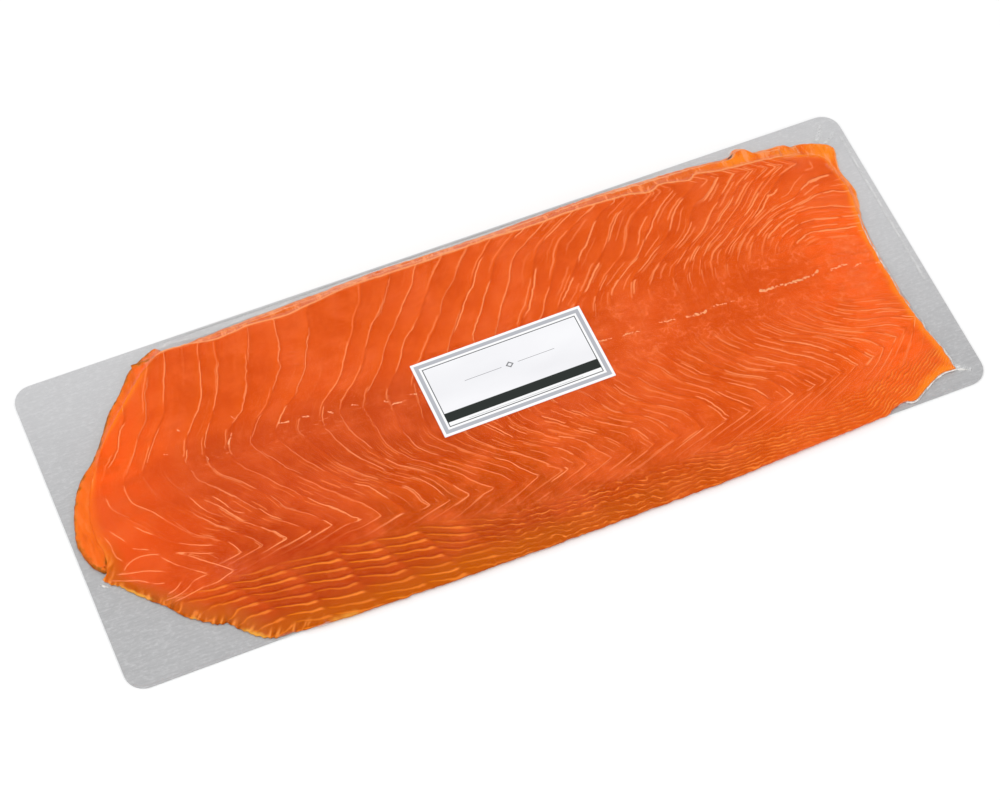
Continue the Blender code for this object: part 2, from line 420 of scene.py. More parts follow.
def along_curve(curve, fractions):
    """Points at these fractions of a curve's length."""
    lengths = np.linalg.norm(np.diff(curve, axis=0), axis=1)
    travelled = np.concatenate([[0], np.cumsum(lengths)])
    at = np.asarray(fractions) * travelled[-1]
    return np.column_stack([np.interp(at, travelled, curve[:, axis]) for axis in (0, 1)])


def patch(us, vs):
    """Points that fill the top slice's four runs: columns along u, rows along v."""
    near, far = smooth_curve(BELLY_EDGE), smooth_curve(BACK_EDGE)
    left, right = smooth_curve(LEFT_END), smooth_curve(RIGHT_END)
    u, v = us[:, None, None], vs[None, :, None]
    across = (1 - v) * along_curve(near, us)[:, None] + v * along_curve(far, us)[:, None]
    along = (1 - u) * along_curve(left, vs)[None] + u * along_curve(right, vs)[None]
    corners = (1 - u) * ((1 - v) * near[0] + v * far[0]) + u * ((1 - v) * near[-1] + v * far[-1])
    return across + along - corners


def bed_height(columns, rows):
    """Height of the top slice's underside: over the lower slices, and down to the card."""
    ends = ramp(columns, LEFT_RISE) * ramp(LENGTH - columns, RIGHT_RISE)
    upper = np.minimum(ends[:, None], ramp(rows, BELLY_RISE)[None])
    return ON_CARD + STEP * ramp(rows, LOWEST_RISE)[None] + 2 * STEP * upper


def rounded(distance):
    """The quarter-round profile of a top rim, as a share of the slice's thickness."""
    inside = np.clip(distance / EDGE_ROUND, 0, 1)
    return EDGE_HEIGHT + (1 - EDGE_HEIGHT) * np.sqrt(1 - (1 - inside) ** 2)


def wander(x, y, size, seed):
    """Smooth random heights, -1 to 1, over points in metres, with lumps of this size."""
    table = np.random.default_rng(seed).uniform(-1, 1, (257, 257))
    gx, gy = np.asarray(x) / size + 60.0, np.asarray(y) / size + 60.0
    ix, iy = np.floor(gx).astype(int), np.floor(gy).astype(int)
    fx, fy = smoothstep(gx - ix), smoothstep(gy - iy)
    ix, iy = ix % 256, iy % 256
    low = table[ix, iy] * (1 - fx) + table[ix + 1, iy] * fx
    high = table[ix, iy + 1] * (1 - fx) + table[ix + 1, iy + 1] * fx
    return low * (1 - fy) + high * fy


print("height of the top slice's flat top in mm:", (ON_CARD + 3 * STEP + SLICE) / MM)

# %% [markdown]
# ## The muscle lines
#
# A salmon's side is built of W-shaped muscle flakes with thin sheets of fat between them. A
# long cut shows each sheet as a pale line. It comes down from the back, hooks at the dark
# septum, runs on to a seam, and turns back sharply in a chevron above the belly. Each line
# below is drawn by the same 17 landmarks, in shares of the card's width. The lines between
# the drawn ones are blends, so a few key lines give the whole side.

# %% Key lines
CARD_WIDTH = 220 * MM
ORIGIN_ALONG, ORIGIN_ACROSS = 1.2795, 0.4875
SHARP = (1, 13)
KEY_LINES = {
    -3: ((0.14, 1.05), (0.115, 0.97), (0.08, 0.87), (0.05, 0.783), (0.0, 0.70), (-0.03, 0.657),
         (-0.055, 0.615), (-0.07, 0.575), (-0.06, 0.53), (0.0, 0.47), (0.06, 0.40), (0.10, 0.375),
         (0.13, 0.34), (0.16, 0.30), (0.10, 0.29), (0.0, 0.27), (-0.15, 0.24)),
    1: ((0.42, 1.05), (0.395, 0.97), (0.362, 0.87), (0.325, 0.783), (0.262, 0.70), (0.233, 0.657),
        (0.207, 0.615), (0.193, 0.575), (0.203, 0.53), (0.258, 0.47), (0.318, 0.385), (0.353, 0.363),
        (0.387, 0.33), (0.415, 0.283), (0.36, 0.274), (0.25, 0.25), (0.10, 0.22)),
    5: ((0.63, 1.05), (0.61, 0.98), (0.585, 0.885), (0.545, 0.785), (0.495, 0.705), (0.453, 0.657),
        (0.435, 0.625), (0.432, 0.60), (0.46, 0.537), (0.52, 0.46), (0.565, 0.405), (0.59, 0.36),
        (0.64, 0.315), (0.683, 0.27), (0.625, 0.257), (0.50, 0.235), (0.35, 0.21)),
    8: ((0.90, 1.05), (0.875, 0.97), (0.842, 0.88), (0.793, 0.785), (0.742, 0.703), (0.69, 0.657),
        (0.66, 0.625), (0.636, 0.58), (0.655, 0.53), (0.71, 0.45), (0.767, 0.38), (0.81, 0.345),
        (0.85, 0.30), (0.88, 0.23), (0.825, 0.222), (0.70, 0.20), (0.52, 0.17)),
    13: ((1.33, 1.05), (1.29, 0.97), (1.235, 0.90), (1.147, 0.803), (1.067, 0.717), (1.02, 0.65),
         (0.985, 0.605), (0.965, 0.57), (0.965, 0.52), (0.973, 0.44), (1.0, 0.385), (1.05, 0.335),
         (1.12, 0.27), (1.187, 0.20), (1.13, 0.178), (0.98, 0.13), (0.80, 0.085)),
    18: ((1.76, 1.03), (1.70, 0.965), (1.567, 0.893), (1.50, 0.80), (1.44, 0.71), (1.40, 0.65),
         (1.37, 0.60), (1.34, 0.55), (1.31, 0.50), (1.30, 0.44), (1.335, 0.365), (1.40, 0.295),
         (1.485, 0.235), (1.53, 0.165), (1.46, 0.143), (1.27, 0.085), (1.08, 0.03)),
    23: ((1.93, 1.0), (2.0, 0.925), (1.915, 0.86), (1.835, 0.775), (1.745, 0.715), (1.69, 0.675),
         (1.665, 0.63), (1.66, 0.58), (1.655, 0.50), (1.665, 0.44), (1.70, 0.385), (1.745, 0.32),
         (1.835, 0.235), (1.88, 0.16), (1.81, 0.138), (1.62, 0.078), (1.44, 0.02)),
    26: ((2.12, 0.96), (2.19, 0.905), (2.11, 0.85), (2.02, 0.765), (1.93, 0.71), (1.885, 0.67),
         (1.865, 0.62), (1.86, 0.57), (1.85, 0.50), (1.84, 0.43), (1.88, 0.36), (1.94, 0.285),
         (2.025, 0.235), (2.075, 0.165), (2.0, 0.142), (1.82, 0.08), (1.65, 0.02)),
    30: ((2.30, 0.93), (2.37, 0.87), (2.307, 0.845), (2.22, 0.785), (2.11, 0.71), (2.05, 0.67),
         (2.02, 0.62), (2.01, 0.57), (2.01, 0.50), (2.03, 0.43), (2.09, 0.355), (2.165, 0.31),
         (2.24, 0.24), (2.275, 0.185), (2.21, 0.15), (2.06, 0.08), (1.92, 0.01)),
    31: ((2.56, 0.81), (2.46, 0.80), (2.387, 0.803), (2.30, 0.765), (2.20, 0.735), (2.11, 0.685),
         (2.06, 0.63), (2.045, 0.57), (2.045, 0.50), (2.06, 0.43), (2.12, 0.355), (2.20, 0.30),
         (2.28, 0.25), (2.32, 0.205), (2.27, 0.155), (2.14, 0.08), (2.0, 0.0)),
    33: ((2.58, 0.655), (2.47, 0.672), (2.40, 0.69), (2.32, 0.709), (2.245, 0.705), (2.19, 0.68),
         (2.155, 0.635), (2.13, 0.575), (2.125, 0.50), (2.15, 0.42), (2.20, 0.345), (2.28, 0.293),
         (2.36, 0.27), (2.41, 0.237), (2.355, 0.185), (2.25, 0.09), (2.14, 0.0)),
    36: ((2.60, 0.54), (2.50, 0.56), (2.43, 0.575), (2.37, 0.59), (2.31, 0.603), (2.275, 0.60),
         (2.25, 0.585), (2.235, 0.56), (2.225, 0.50), (2.235, 0.44), (2.28, 0.39), (2.34, 0.365),
         (2.42, 0.34), (2.52, 0.30), (2.50, 0.23), (2.44, 0.13), (2.3, 0.05)),
    40: ((2.60, 0.515), (2.55, 0.52), (2.50, 0.525), (2.47, 0.53), (2.45, 0.535), (2.43, 0.535),
         (2.41, 0.53), (2.40, 0.52), (2.395, 0.495), (2.40, 0.46), (2.43, 0.44), (2.47, 0.43),
         (2.53, 0.42), (2.62, 0.38), (2.60, 0.30), (2.56, 0.20), (2.5, 0.05)),
}
LINE_STEPS = 10
LINES_BETWEEN = 10


def drawn_line(landmarks):
    """A key line as close points, smooth but for its sharp turns."""
    cuts = (0,) + SHARP + (len(landmarks) - 1,)
    runs = [smooth_curve(landmarks[a : b + 1], CARD_WIDTH, LINE_STEPS) for a, b in zip(cuts, cuts[1:])]
    return np.vstack([run[:-1] for run in runs[:-1]] + [runs[-1]])


def line_plan():
    """Points of every line: first axis the line's number, second axis the run along it."""
    numbers = np.array(sorted(KEY_LINES), float)
    drawn = np.stack([drawn_line(KEY_LINES[n]) for n in sorted(KEY_LINES)])
    wanted = np.arange(numbers[0], numbers[-1] + 0.001, 1 / LINES_BETWEEN)
    before = np.clip(np.searchsorted(numbers, wanted, side="right") - 1, 0, len(numbers) - 2)
    share = ((wanted - numbers[before]) / (numbers[before + 1] - numbers[before]))[:, None, None]
    return wanted, drawn[before] * (1 - share) + drawn[before + 1] * share


line_numbers, line_points = line_plan()
print("lines drawn:", len(KEY_LINES), "points planned:", line_points.shape)

# %% [markdown]
# Every point of the slice has to know which line it is near, and how far along it. The plan
# is turned round for that: the nearest planned point gives both numbers, and the plan's own
# slope there corrects them to the exact place.


# %% Line number and run at any point
def read_plan(x, y):
    """Line number, and run along the line, at points in metres."""
    count, steps = line_points.shape[:2]
    tree = kdtree.KDTree(count * steps)
    for index, point in enumerate(line_points.reshape(-1, 2)):
        tree.insert((point[0], point[1], 0), index)
    tree.balance()
    across = np.gradient(line_points, axis=0) * LINES_BETWEEN
    along = np.gradient(line_points, axis=1)
    flat = np.column_stack([x.ravel(), y.ravel()])
    near = np.array([tree.find((a, b, 0))[1] for a, b in flat])
    i, j = near // steps, near % steps
    off = flat - line_points[i, j]
    a, b = across[i, j], along[i, j]
    det = a[:, 0] * b[:, 1] - a[:, 1] * b[:, 0]
    det = np.where(np.abs(det) < 1e-9, 1e-9, det)
    number = line_numbers[i] + np.clip((off[:, 0] * b[:, 1] - off[:, 1] * b[:, 0]) / det, -0.3, 0.3)
    run = j + np.clip((a[:, 0] * off[:, 1] - a[:, 1] * off[:, 0]) / det, -1, 1)
    return number.reshape(x.shape), (run / LINE_STEPS).reshape(x.shape)


print("landmarks per line:", len(KEY_LINES[1]))

# %% [markdown]
# ## The top slice
#
# This is the piece that carries the look, so it gets its own fine mesh over the CAD solid's
# form: a grid of about 1.4 by 1 mm on top, the same rounded rim, and a coarse underside that
# shares the rim's points. The flakes stand as very low steps, and the belly's ripples as real
# waves. Numbers ride on each point for the finish: the line number and the run along it, the
# ripple rows and tiles, the distance to the nearest free stroke, how plainly each of these
# shows, the spacing between lines and between ripples, and the distance from the rim.

# %% Top slice mesh
TOP_COLUMNS = 384
TOP_ROWS = 176
COARSE = 8
LEAN = (0.264, 0.544)
FLAKE_STEP = 0.10 * MM
RIPPLE_HEIGHT = 0.42 * MM
RIPPLE_SPACING = 6.2 * MM
RIPPLE_TILE = 27 * MM
TILE_FALL = 1.35
TILE_CURL = 0.40
TILE_SHIFT = 0.618
NEAR_LEFT = 112 * MM
THINNER_LEFT, THIN_LEFT_WIDTH = 0.72, 16 * MM
THINNER_NEAR, THIN_NEAR_WIDTH = 0.55, 14 * MM
NOT_NEAR = 9.0
# The top of the belly's ripples along the card, both in shares of the card's width.
RIPPLE_TOP_X = (0.1, 0.35, 0.6, 0.9, 1.1, 1.3, 1.6, 2.0, 2.2, 2.3, 2.5)
RIPPLE_TOP_Y = (0.215, 0.215, 0.205, 0.17, 0.125, 0.105, 0.09, 0.085, 0.10, 0.13, 0.15)


def fine_run(length, count):
    """Distances from 0 to length: close near both rims, even between, count steps in all."""
    rim = np.array([0, 0.25, 0.7, 1.4, 2.2]) * MM
    inner = np.linspace(3.0 * MM, length - 3.0 * MM, count + 1 - 2 * len(rim))
    return np.concatenate([rim, inner, length - rim[::-1]])


def fray(points, columns, rows):
    """Pulls the outline in unevenly, as knife and smoke leave it, with teeth at the near-left."""
    frayed = points.copy()
    near_side = np.clip(1 - rows / (9 * MM), 0, 1)[None]
    far_side = np.clip(1 - (WIDTH - rows) / (7 * MM), 0, 1)[None]
    left_end = np.clip(1 - columns / (8 * MM), 0, 1)[:, None]
    right_end = np.clip(1 - (LENGTH - columns) / (8 * MM), 0, 1)[:, None]
    x, y = points[..., 0], points[..., 1]
    rough = 0.7 * wander(x, y, 5 * MM, 3) + 0.5 * wander(x, y, 1.9 * MM, 4)
    slow = wander(x, y, 14 * MM, 5)
    teeth = (x - 0.7 * y) / (5.2 * MM) + 0.8 * wander(x, y, 9 * MM, 7)
    teeth = (teeth - np.floor(teeth)) * (0.55 + 0.45 * wander(x, y, 11 * MM, 6))
    ragged = smoothstep((NEAR_LEFT - x) / (25 * MM)) * teeth
    frayed[..., 1] += near_side * (0.55 + 0.45 * rough + 0.4 * slow + 1.9 * ragged) * MM
    frayed[..., 1] -= far_side * (0.5 + 0.45 * rough + 0.3 * slow) * MM
    frayed[..., 0] += left_end * (0.5 + 0.6 * rough) * MM
    frayed[..., 0] -= right_end * (0.5 + 0.6 * rough + 0.3 * slow) * MM
    return frayed


def ripple_marks(x, y):
    """Rows of ripples counted from the belly edge up, and tiles counted along it."""
    share_x = x / CARD_WIDTH
    finer = 1 + 0.55 * smoothstep((share_x - 0.9) / 0.3) + 0.75 * smoothstep((share_x - 1.5) / 0.4)
    rise = 0.75 * np.maximum(x - 2.2 * CARD_WIDTH, 0)
    sway = 1.8 * MM * wander(x, y, 33 * MM, 12) + 0.9 * MM * wander(x, y, 10 * MM, 13)
    tiles = (x + 0.6 * y + 9 * MM * wander(x, y, 45 * MM, 11)) / RIPPLE_TILE
    return (y + sway - rise) * finer / RIPPLE_SPACING, tiles


def ripple_wave(rows, tiles):
    """The ripple count once each tile has its own shift, its fall to the right and its curl."""
    whole = np.floor(tiles)
    within = tiles - whole
    fall = TILE_FALL * within - TILE_CURL * smoothstep((within - 0.6) / 0.4)
    shift = whole * TILE_SHIFT
    return rows + fall + 0.5 * (shift - np.floor(shift)), within


# Places with few lines: middle, half widths and the share of the lines that fades there.
BARE_PLACES = (
    (2.20, 0.50, 0.17, 0.10, 0.95), (0.20, 0.50, 0.15, 0.17, 0.6), (0.34, 0.50, 0.09, 0.08, 0.4),
    (1.90, 0.46, 0.24, 0.04, 0.6), (0.12, 0.62, 0.06, 0.12, 0.6), (0.18, 0.30, 0.19, 0.13, 0.92),
)

# Stretches of a line that don't show: its number, and the runs where they begin and end.
HIDDEN_STRETCHES = ((3, 0, 6.4), (-1, 0, 6.4), (-2, 0, 17), (-3, 0, 17), (-1, 7.5, 10.5), (9, 0, 5.5))

# Strokes that don't follow the plan, as points in shares of the card's width.
FREE_STROKES = (
    ((0.063, 0.333), (0.10, 0.321), (0.14, 0.305), (0.161, 0.29)),
    ((0.087, 0.347), (0.12, 0.338), (0.163, 0.328), (0.21, 0.307)),
    ((0.107, 0.35), (0.13, 0.367), (0.16, 0.375), (0.19, 0.37), (0.215, 0.361)),
    ((0.152, 0.407), (0.173, 0.395), (0.195, 0.385)),
    ((0.113, 0.48), (0.13, 0.453), (0.143, 0.433)),
    ((0.093, 0.467), (0.101, 0.44), (0.103, 0.40), (0.12, 0.377)),
    ((0.267, 0.377), (0.30, 0.359), (0.333, 0.343), (0.361, 0.333)),
    ((0.25, 0.353), (0.287, 0.337), (0.323, 0.32), (0.357, 0.309)),
    ((0.18, 0.467), (0.20, 0.443), (0.223, 0.421)),
    ((0.24, 0.263), (0.22, 0.247), (0.19, 0.239)),
    ((0.197, 0.275), (0.185, 0.278), (0.165, 0.286)),
    ((0.142, 0.703), (0.127, 0.661), (0.112, 0.617)),
    ((0.213, 0.353), (0.243, 0.317), (0.277, 0.287), (0.318, 0.254)),
    ((0.318, 0.256), (0.273, 0.252), (0.25, 0.237), (0.22, 0.227), (0.175, 0.222)),
    ((0.253, 0.35), (0.287, 0.327), (0.32, 0.297), (0.353, 0.269), (0.385, 0.238)),
    ((0.385, 0.24), (0.353, 0.231), (0.327, 0.223), (0.287, 0.223), (0.247, 0.217), (0.20, 0.211)),
    ((0.197, 0.60), (0.195, 0.567), (0.203, 0.533), (0.24, 0.493), (0.27, 0.447), (0.30, 0.407),
     (0.32, 0.38)),
    ((0.139, 0.58), (0.14, 0.55), (0.147, 0.533), (0.16, 0.517)),
    ((0.35, 0.50), (0.367, 0.46), (0.387, 0.43), (0.42, 0.40)),
    ((0.407, 0.48), (0.427, 0.453), (0.447, 0.413), (0.473, 0.393)),
)


def free_marks(x, y):
    """Signed distance in mm to the nearest free stroke, and how plainly it shows."""
    nearest, shown = np.full(x.shape, np.inf), np.zeros(x.shape)
    side = np.full(x.shape, NOT_NEAR)
    for stroke in FREE_STROKES:
        drawn = smooth_curve(stroke, CARD_WIDTH, 5)
        last = len(drawn) - 1
        for k, (start, step) in enumerate(zip(drawn, np.diff(drawn, axis=0))):
            off_x, off_y = x - start[0], y - start[1]
            share = np.clip((off_x * step[0] + off_y * step[1]) / (step**2).sum(), 0, 1)
            away = np.hypot(off_x - share * step[0], off_y - share * step[1])
            closer = away < nearest
            nearest = np.where(closer, away, nearest)
            side = np.where(closer, away / MM * np.sign(step[0] * off_y - step[1] * off_x), side)
            taper = np.minimum(1, np.minimum(k + share, last - k - share) / 1.5)
            shown = np.where(closer, taper * (1 - smoothstep((away / MM - 0.9) / 0.9)), shown)
    return side, shown


# How plainly lines show along their run, left and right of the sticker: runs, then shares.
PLAIN_LEFT = ((0, 5.8, 6.9, 8.3, 9.9, 13.3, 14.0, 14.7), (0.9, 1.0, 0.4, 0.6, 0.9, 1.0, 0.6, 0.1))
PLAIN_RIGHT = ((0, 4.8, 6.1, 6.7, 8.6, 10.1, 13.3, 14.2, 15.2),
               (0.9, 0.9, 0.4, 0.12, 0.14, 0.75, 0.9, 0.5, 0.1))


def plainness(x, y, number, run):
    """How plainly the lines show at points in shares of the card's width, 0 to 1."""
    left, right = np.interp(run, *PLAIN_LEFT), np.interp(run, *PLAIN_RIGHT)
    shown = left + (right - left) * smoothstep((x - 1.1) / 0.5)
    shown = shown * (1 - smoothstep((number - 35) / 2.5))
    for line, first, last in HIDDEN_STRETCHES:
        beside = 1 - smoothstep((np.abs(number - line) - 0.3) / 0.2)
        shown = shown * (1 - 0.85 * beside * smoothstep(run - first + 1) * smoothstep(last + 1 - run))
    for middle_x, middle_y, half_x, half_y, share in BARE_PLACES:
        from_middle = np.hypot((x - middle_x) / half_x, (y - middle_y) / half_y)
        shown = shown * (1 - share * smoothstep((1.25 - from_middle) / 0.6))
    return shown


def top_slice_form():
    """The top slice's grid, the heights of its two faces, and the numbers for the finish."""
    columns, rows = fine_run(LENGTH, TOP_COLUMNS), fine_run(WIDTH, TOP_ROWS)
    points = patch(columns / LENGTH, rows / WIDTH)
    underside = bed_height(columns, rows)
    from_end = np.minimum(columns, LENGTH - columns)[:, None]
    from_side = np.minimum(rows, WIDTH - rows)[None]
    inset = np.minimum(from_end, from_side)
    thin_left = (1 - smoothstep(columns / THIN_LEFT_WIDTH))[:, None]
    thin_near = smoothstep((118 * MM - points[..., 0]) / (20 * MM))
    thin_near = thin_near * (1 - smoothstep(rows / THIN_NEAR_WIDTH))[None]
    thickness = SLICE * rounded(inset) * (1 - THINNER_LEFT * thin_left)
    topside = underside + thickness * (1 - THINNER_NEAR * thin_near)
    height = topside - CARD_TOP
    seen_x = points[..., 0] + LEAN[0] * height
    seen_y = points[..., 1] + LEAN[1] * height
    number, run = read_plan(seen_x, seen_y)
    number += 0.16 * wander(seen_x, seen_y, 17 * MM, 21) + 0.05 * wander(seen_x, seen_y, 6 * MM, 22)
    rows_up, tiles = ripple_marks(seen_x, seen_y)
    bend = smoothstep((NEAR_LEFT - seen_x) / (30 * MM)) * (1 - smoothstep(from_side / (16 * MM)))
    rows_up = rows_up + 1.6 * bend
    ripple, within = ripple_wave(rows_up, tiles)
    share_x = seen_x / CARD_WIDTH
    ripple_top = np.interp(share_x, RIPPLE_TOP_X, RIPPLE_TOP_Y)
    in_ripples = smoothstep((ripple_top - seen_y / CARD_WIDTH) / 0.035 + 0.5)
    flake = number - np.floor(number)
    shown = plainness(share_x, seen_y / CARD_WIDTH, number, run) * (1 - in_ripples)
    flake_form = FLAKE_STEP * (flake - 0.5) * smoothstep(inset / (6 * MM)) * shown
    wave = 0.5 - 0.5 * np.cos(2 * np.pi * ripple)
    swell = 0.75 + 0.25 * wander(seen_x, seen_y, 22 * MM, 31)
    swell = swell * in_ripples * smoothstep(inset / (4 * MM))
    swell = swell * smoothstep((0.5 - np.abs(within - 0.5)) / 0.08)
    calm = 1 - 0.65 * smoothstep((share_x - 0.9) / 0.3) - 0.2 * smoothstep((share_x - 1.5) / 0.4)
    ripple_form = RIPPLE_HEIGHT * calm * swell * (wave - 0.4)
    marks = {"line_number": number, "line_run": run, "ripple_rows": rows_up, "ripple_tiles": tiles}
    marks["free_side"], marks["free_shown"] = free_marks(seen_x, seen_y)
    marks["in_ripples"] = in_ripples
    marks["line_shown"] = shown
    marks["inset"] = inset / MM
    return columns, rows, points, underside, topside + flake_form + ripple_form, marks


columns, rows, points, underside, surface, marks = top_slice_form()
print("top slice grid:", points.shape[:2], "marks:", list(marks))


# %% [markdown]
# The spacing between lines is the plan's slope turned over. It lets the finish draw every
# line equally crisp, whether the lines crowd at the belly or spread at the back.


# %% Spacing of a count, and the closed mesh
def spacing(count, points):
    """Metres from one whole number to the next, measured across the lines."""
    du, dv = np.gradient(count)
    xu, xv = np.gradient(points[..., 0])
    yu, yv = np.gradient(points[..., 1])
    det = xu * yv - xv * yu
    gx = (du * yv - dv * yu) / det
    gy = (dv * xu - du * xv) / det
    steep = np.hypot(gx, gy)
    return 1 / np.clip(steep, 1 / (40 * MM), 1 / (1.2 * MM))


def mesh_object(name, corners, faces, edges=()):
    mesh = bpy.data.meshes.new(name)
    mesh.from_pydata(corners, edges, faces)
    mesh.shade_smooth()
    return stand(name, mesh)


def closed_sheet(name, points, underside, topside, coarse):
    """A closed slice: a fine top and a coarse underside that share the rim."""
    m, n = topside.shape
    flat = (points - ORIGIN).reshape(-1, 2)
    top = np.column_stack([flat, topside.ravel()])
    index = np.arange(m * n).reshape(m, n)
    quads = np.stack([index[:-1, :-1], index[1:, :-1], index[1:, 1:], index[:-1, 1:]], -1)
    faces = quads.reshape(-1, 4).tolist()
    below = {}
    extra = []

    def under(i, j):
        if (i, j) not in below:
            below[i, j] = m * n + len(extra)
            extra.append((*(points[i, j] - ORIGIN), underside[i, j]))
        return below[i, j]

    rim = [(i, 0) for i in range(m - 1)] + [(m - 1, j) for j in range(n - 1)]
    rim += [(i, n - 1) for i in range(m - 1, 0, -1)] + [(0, j) for j in range(n - 1, 0, -1)]
    for (i, j), (k, q) in zip(rim, rim[1:] + rim[:1]):
        faces.append([index[i, j], under(i, j), under(k, q), index[k, q]])
    stops = [sorted(set(range(0, size, coarse)) | {size - 1}) for size in (m, n)]
    for i0, i1 in zip(stops[0], stops[0][1:]):
        for j0, j1 in zip(stops[1], stops[1][1:]):
            near = range(i0, i1) if j0 == 0 else (i0,)
            right = range(j0, j1) if i1 == m - 1 else (j0,)
            far = range(i1, i0, -1) if j1 == n - 1 else (i1,)
            left = range(j1, j0, -1) if i0 == 0 else (j1,)
            loop = [(i, j0) for i in near] + [(i1, j) for j in right]
            loop += [(i, j1) for i in far] + [(i0, j) for j in left]
            faces.append([under(i, j) for i, j in reversed(loop)])
    return mesh_object(name, np.vstack([top, np.array(extra)]).tolist(), faces)


def hang(mesh, name, values):
    """A number on each point, in order, and 0 on the points that are left over."""
    layer = mesh.attributes.new(name, "FLOAT", "POINT")
    full = np.zeros(len(mesh.vertices), np.float32)
    full[: values.size] = values.ravel()
    layer.data.foreach_set("value", full)


frayed = fray(points, columns, rows)
top_slice = closed_sheet("top_slice_flesh", frayed, underside, surface, COARSE)
marks["line_spacing"] = spacing(marks["line_number"], points) / MM
marks["ripple_spacing"] = spacing(marks["ripple_rows"], points) / MM
for name, values in marks.items():
    hang(top_slice.data, name, values)
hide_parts("top_slice")
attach(top_slice, "root")
print("top slice faces:", len(top_slice.data.polygons))

# %% [markdown]
# ## The flesh
#
# Smoked salmon is a clear strong orange. Its colour changes slowly over the side, and each
# fat line is a thin paler stroke that thickens, thins and breaks off. The strokes come from
# the numbers on the mesh: the distance to the nearest whole line number, in millimetres, is
# compared with a stroke width that noise makes uneven. The free strokes at the left, which
# follow no line, are drawn the same way from the distance to them.


# %% Flesh finish
def strokes(finish, number, run, gap, which, looseness, stout=1.0):
    """Broken strokes along the lines: each has its own length, weight and place beside its line."""
    whole = (number + 0.5).floor()
    start = finish.dice(finish.point(whole, which, 3.0))
    paced = run + start * 3.0 + 0.5 * which
    cell = paced.floor()
    along = paced - cell
    spot = finish.point(whole, cell, which)
    chance = finish.dice(spot)
    beside, weight, reach = finish.axes(finish.dice(spot, 1))
    apart = abs(number - whole - (beside - 0.5) * looseness) * gap
    ends = along.above(0.0, 0.12) * along.below(0.40 + reach * 0.2, 0.56 + reach * 0.3)
    half = (0.13 + weight * 0.22) * stout
    line = apart.below(half * 0.6 * ends, half * 1.8) * ends.above(0.05, 0.5)
    return line * (0.45 + chance * 0.55)


def card_shares(finish, place):
    """Places along and across the card, in shares of its width."""
    x, y, _ = finish.axes(place)
    return x / CARD_WIDTH + ORIGIN_ALONG, y / CARD_WIDTH + ORIGIN_ACROSS


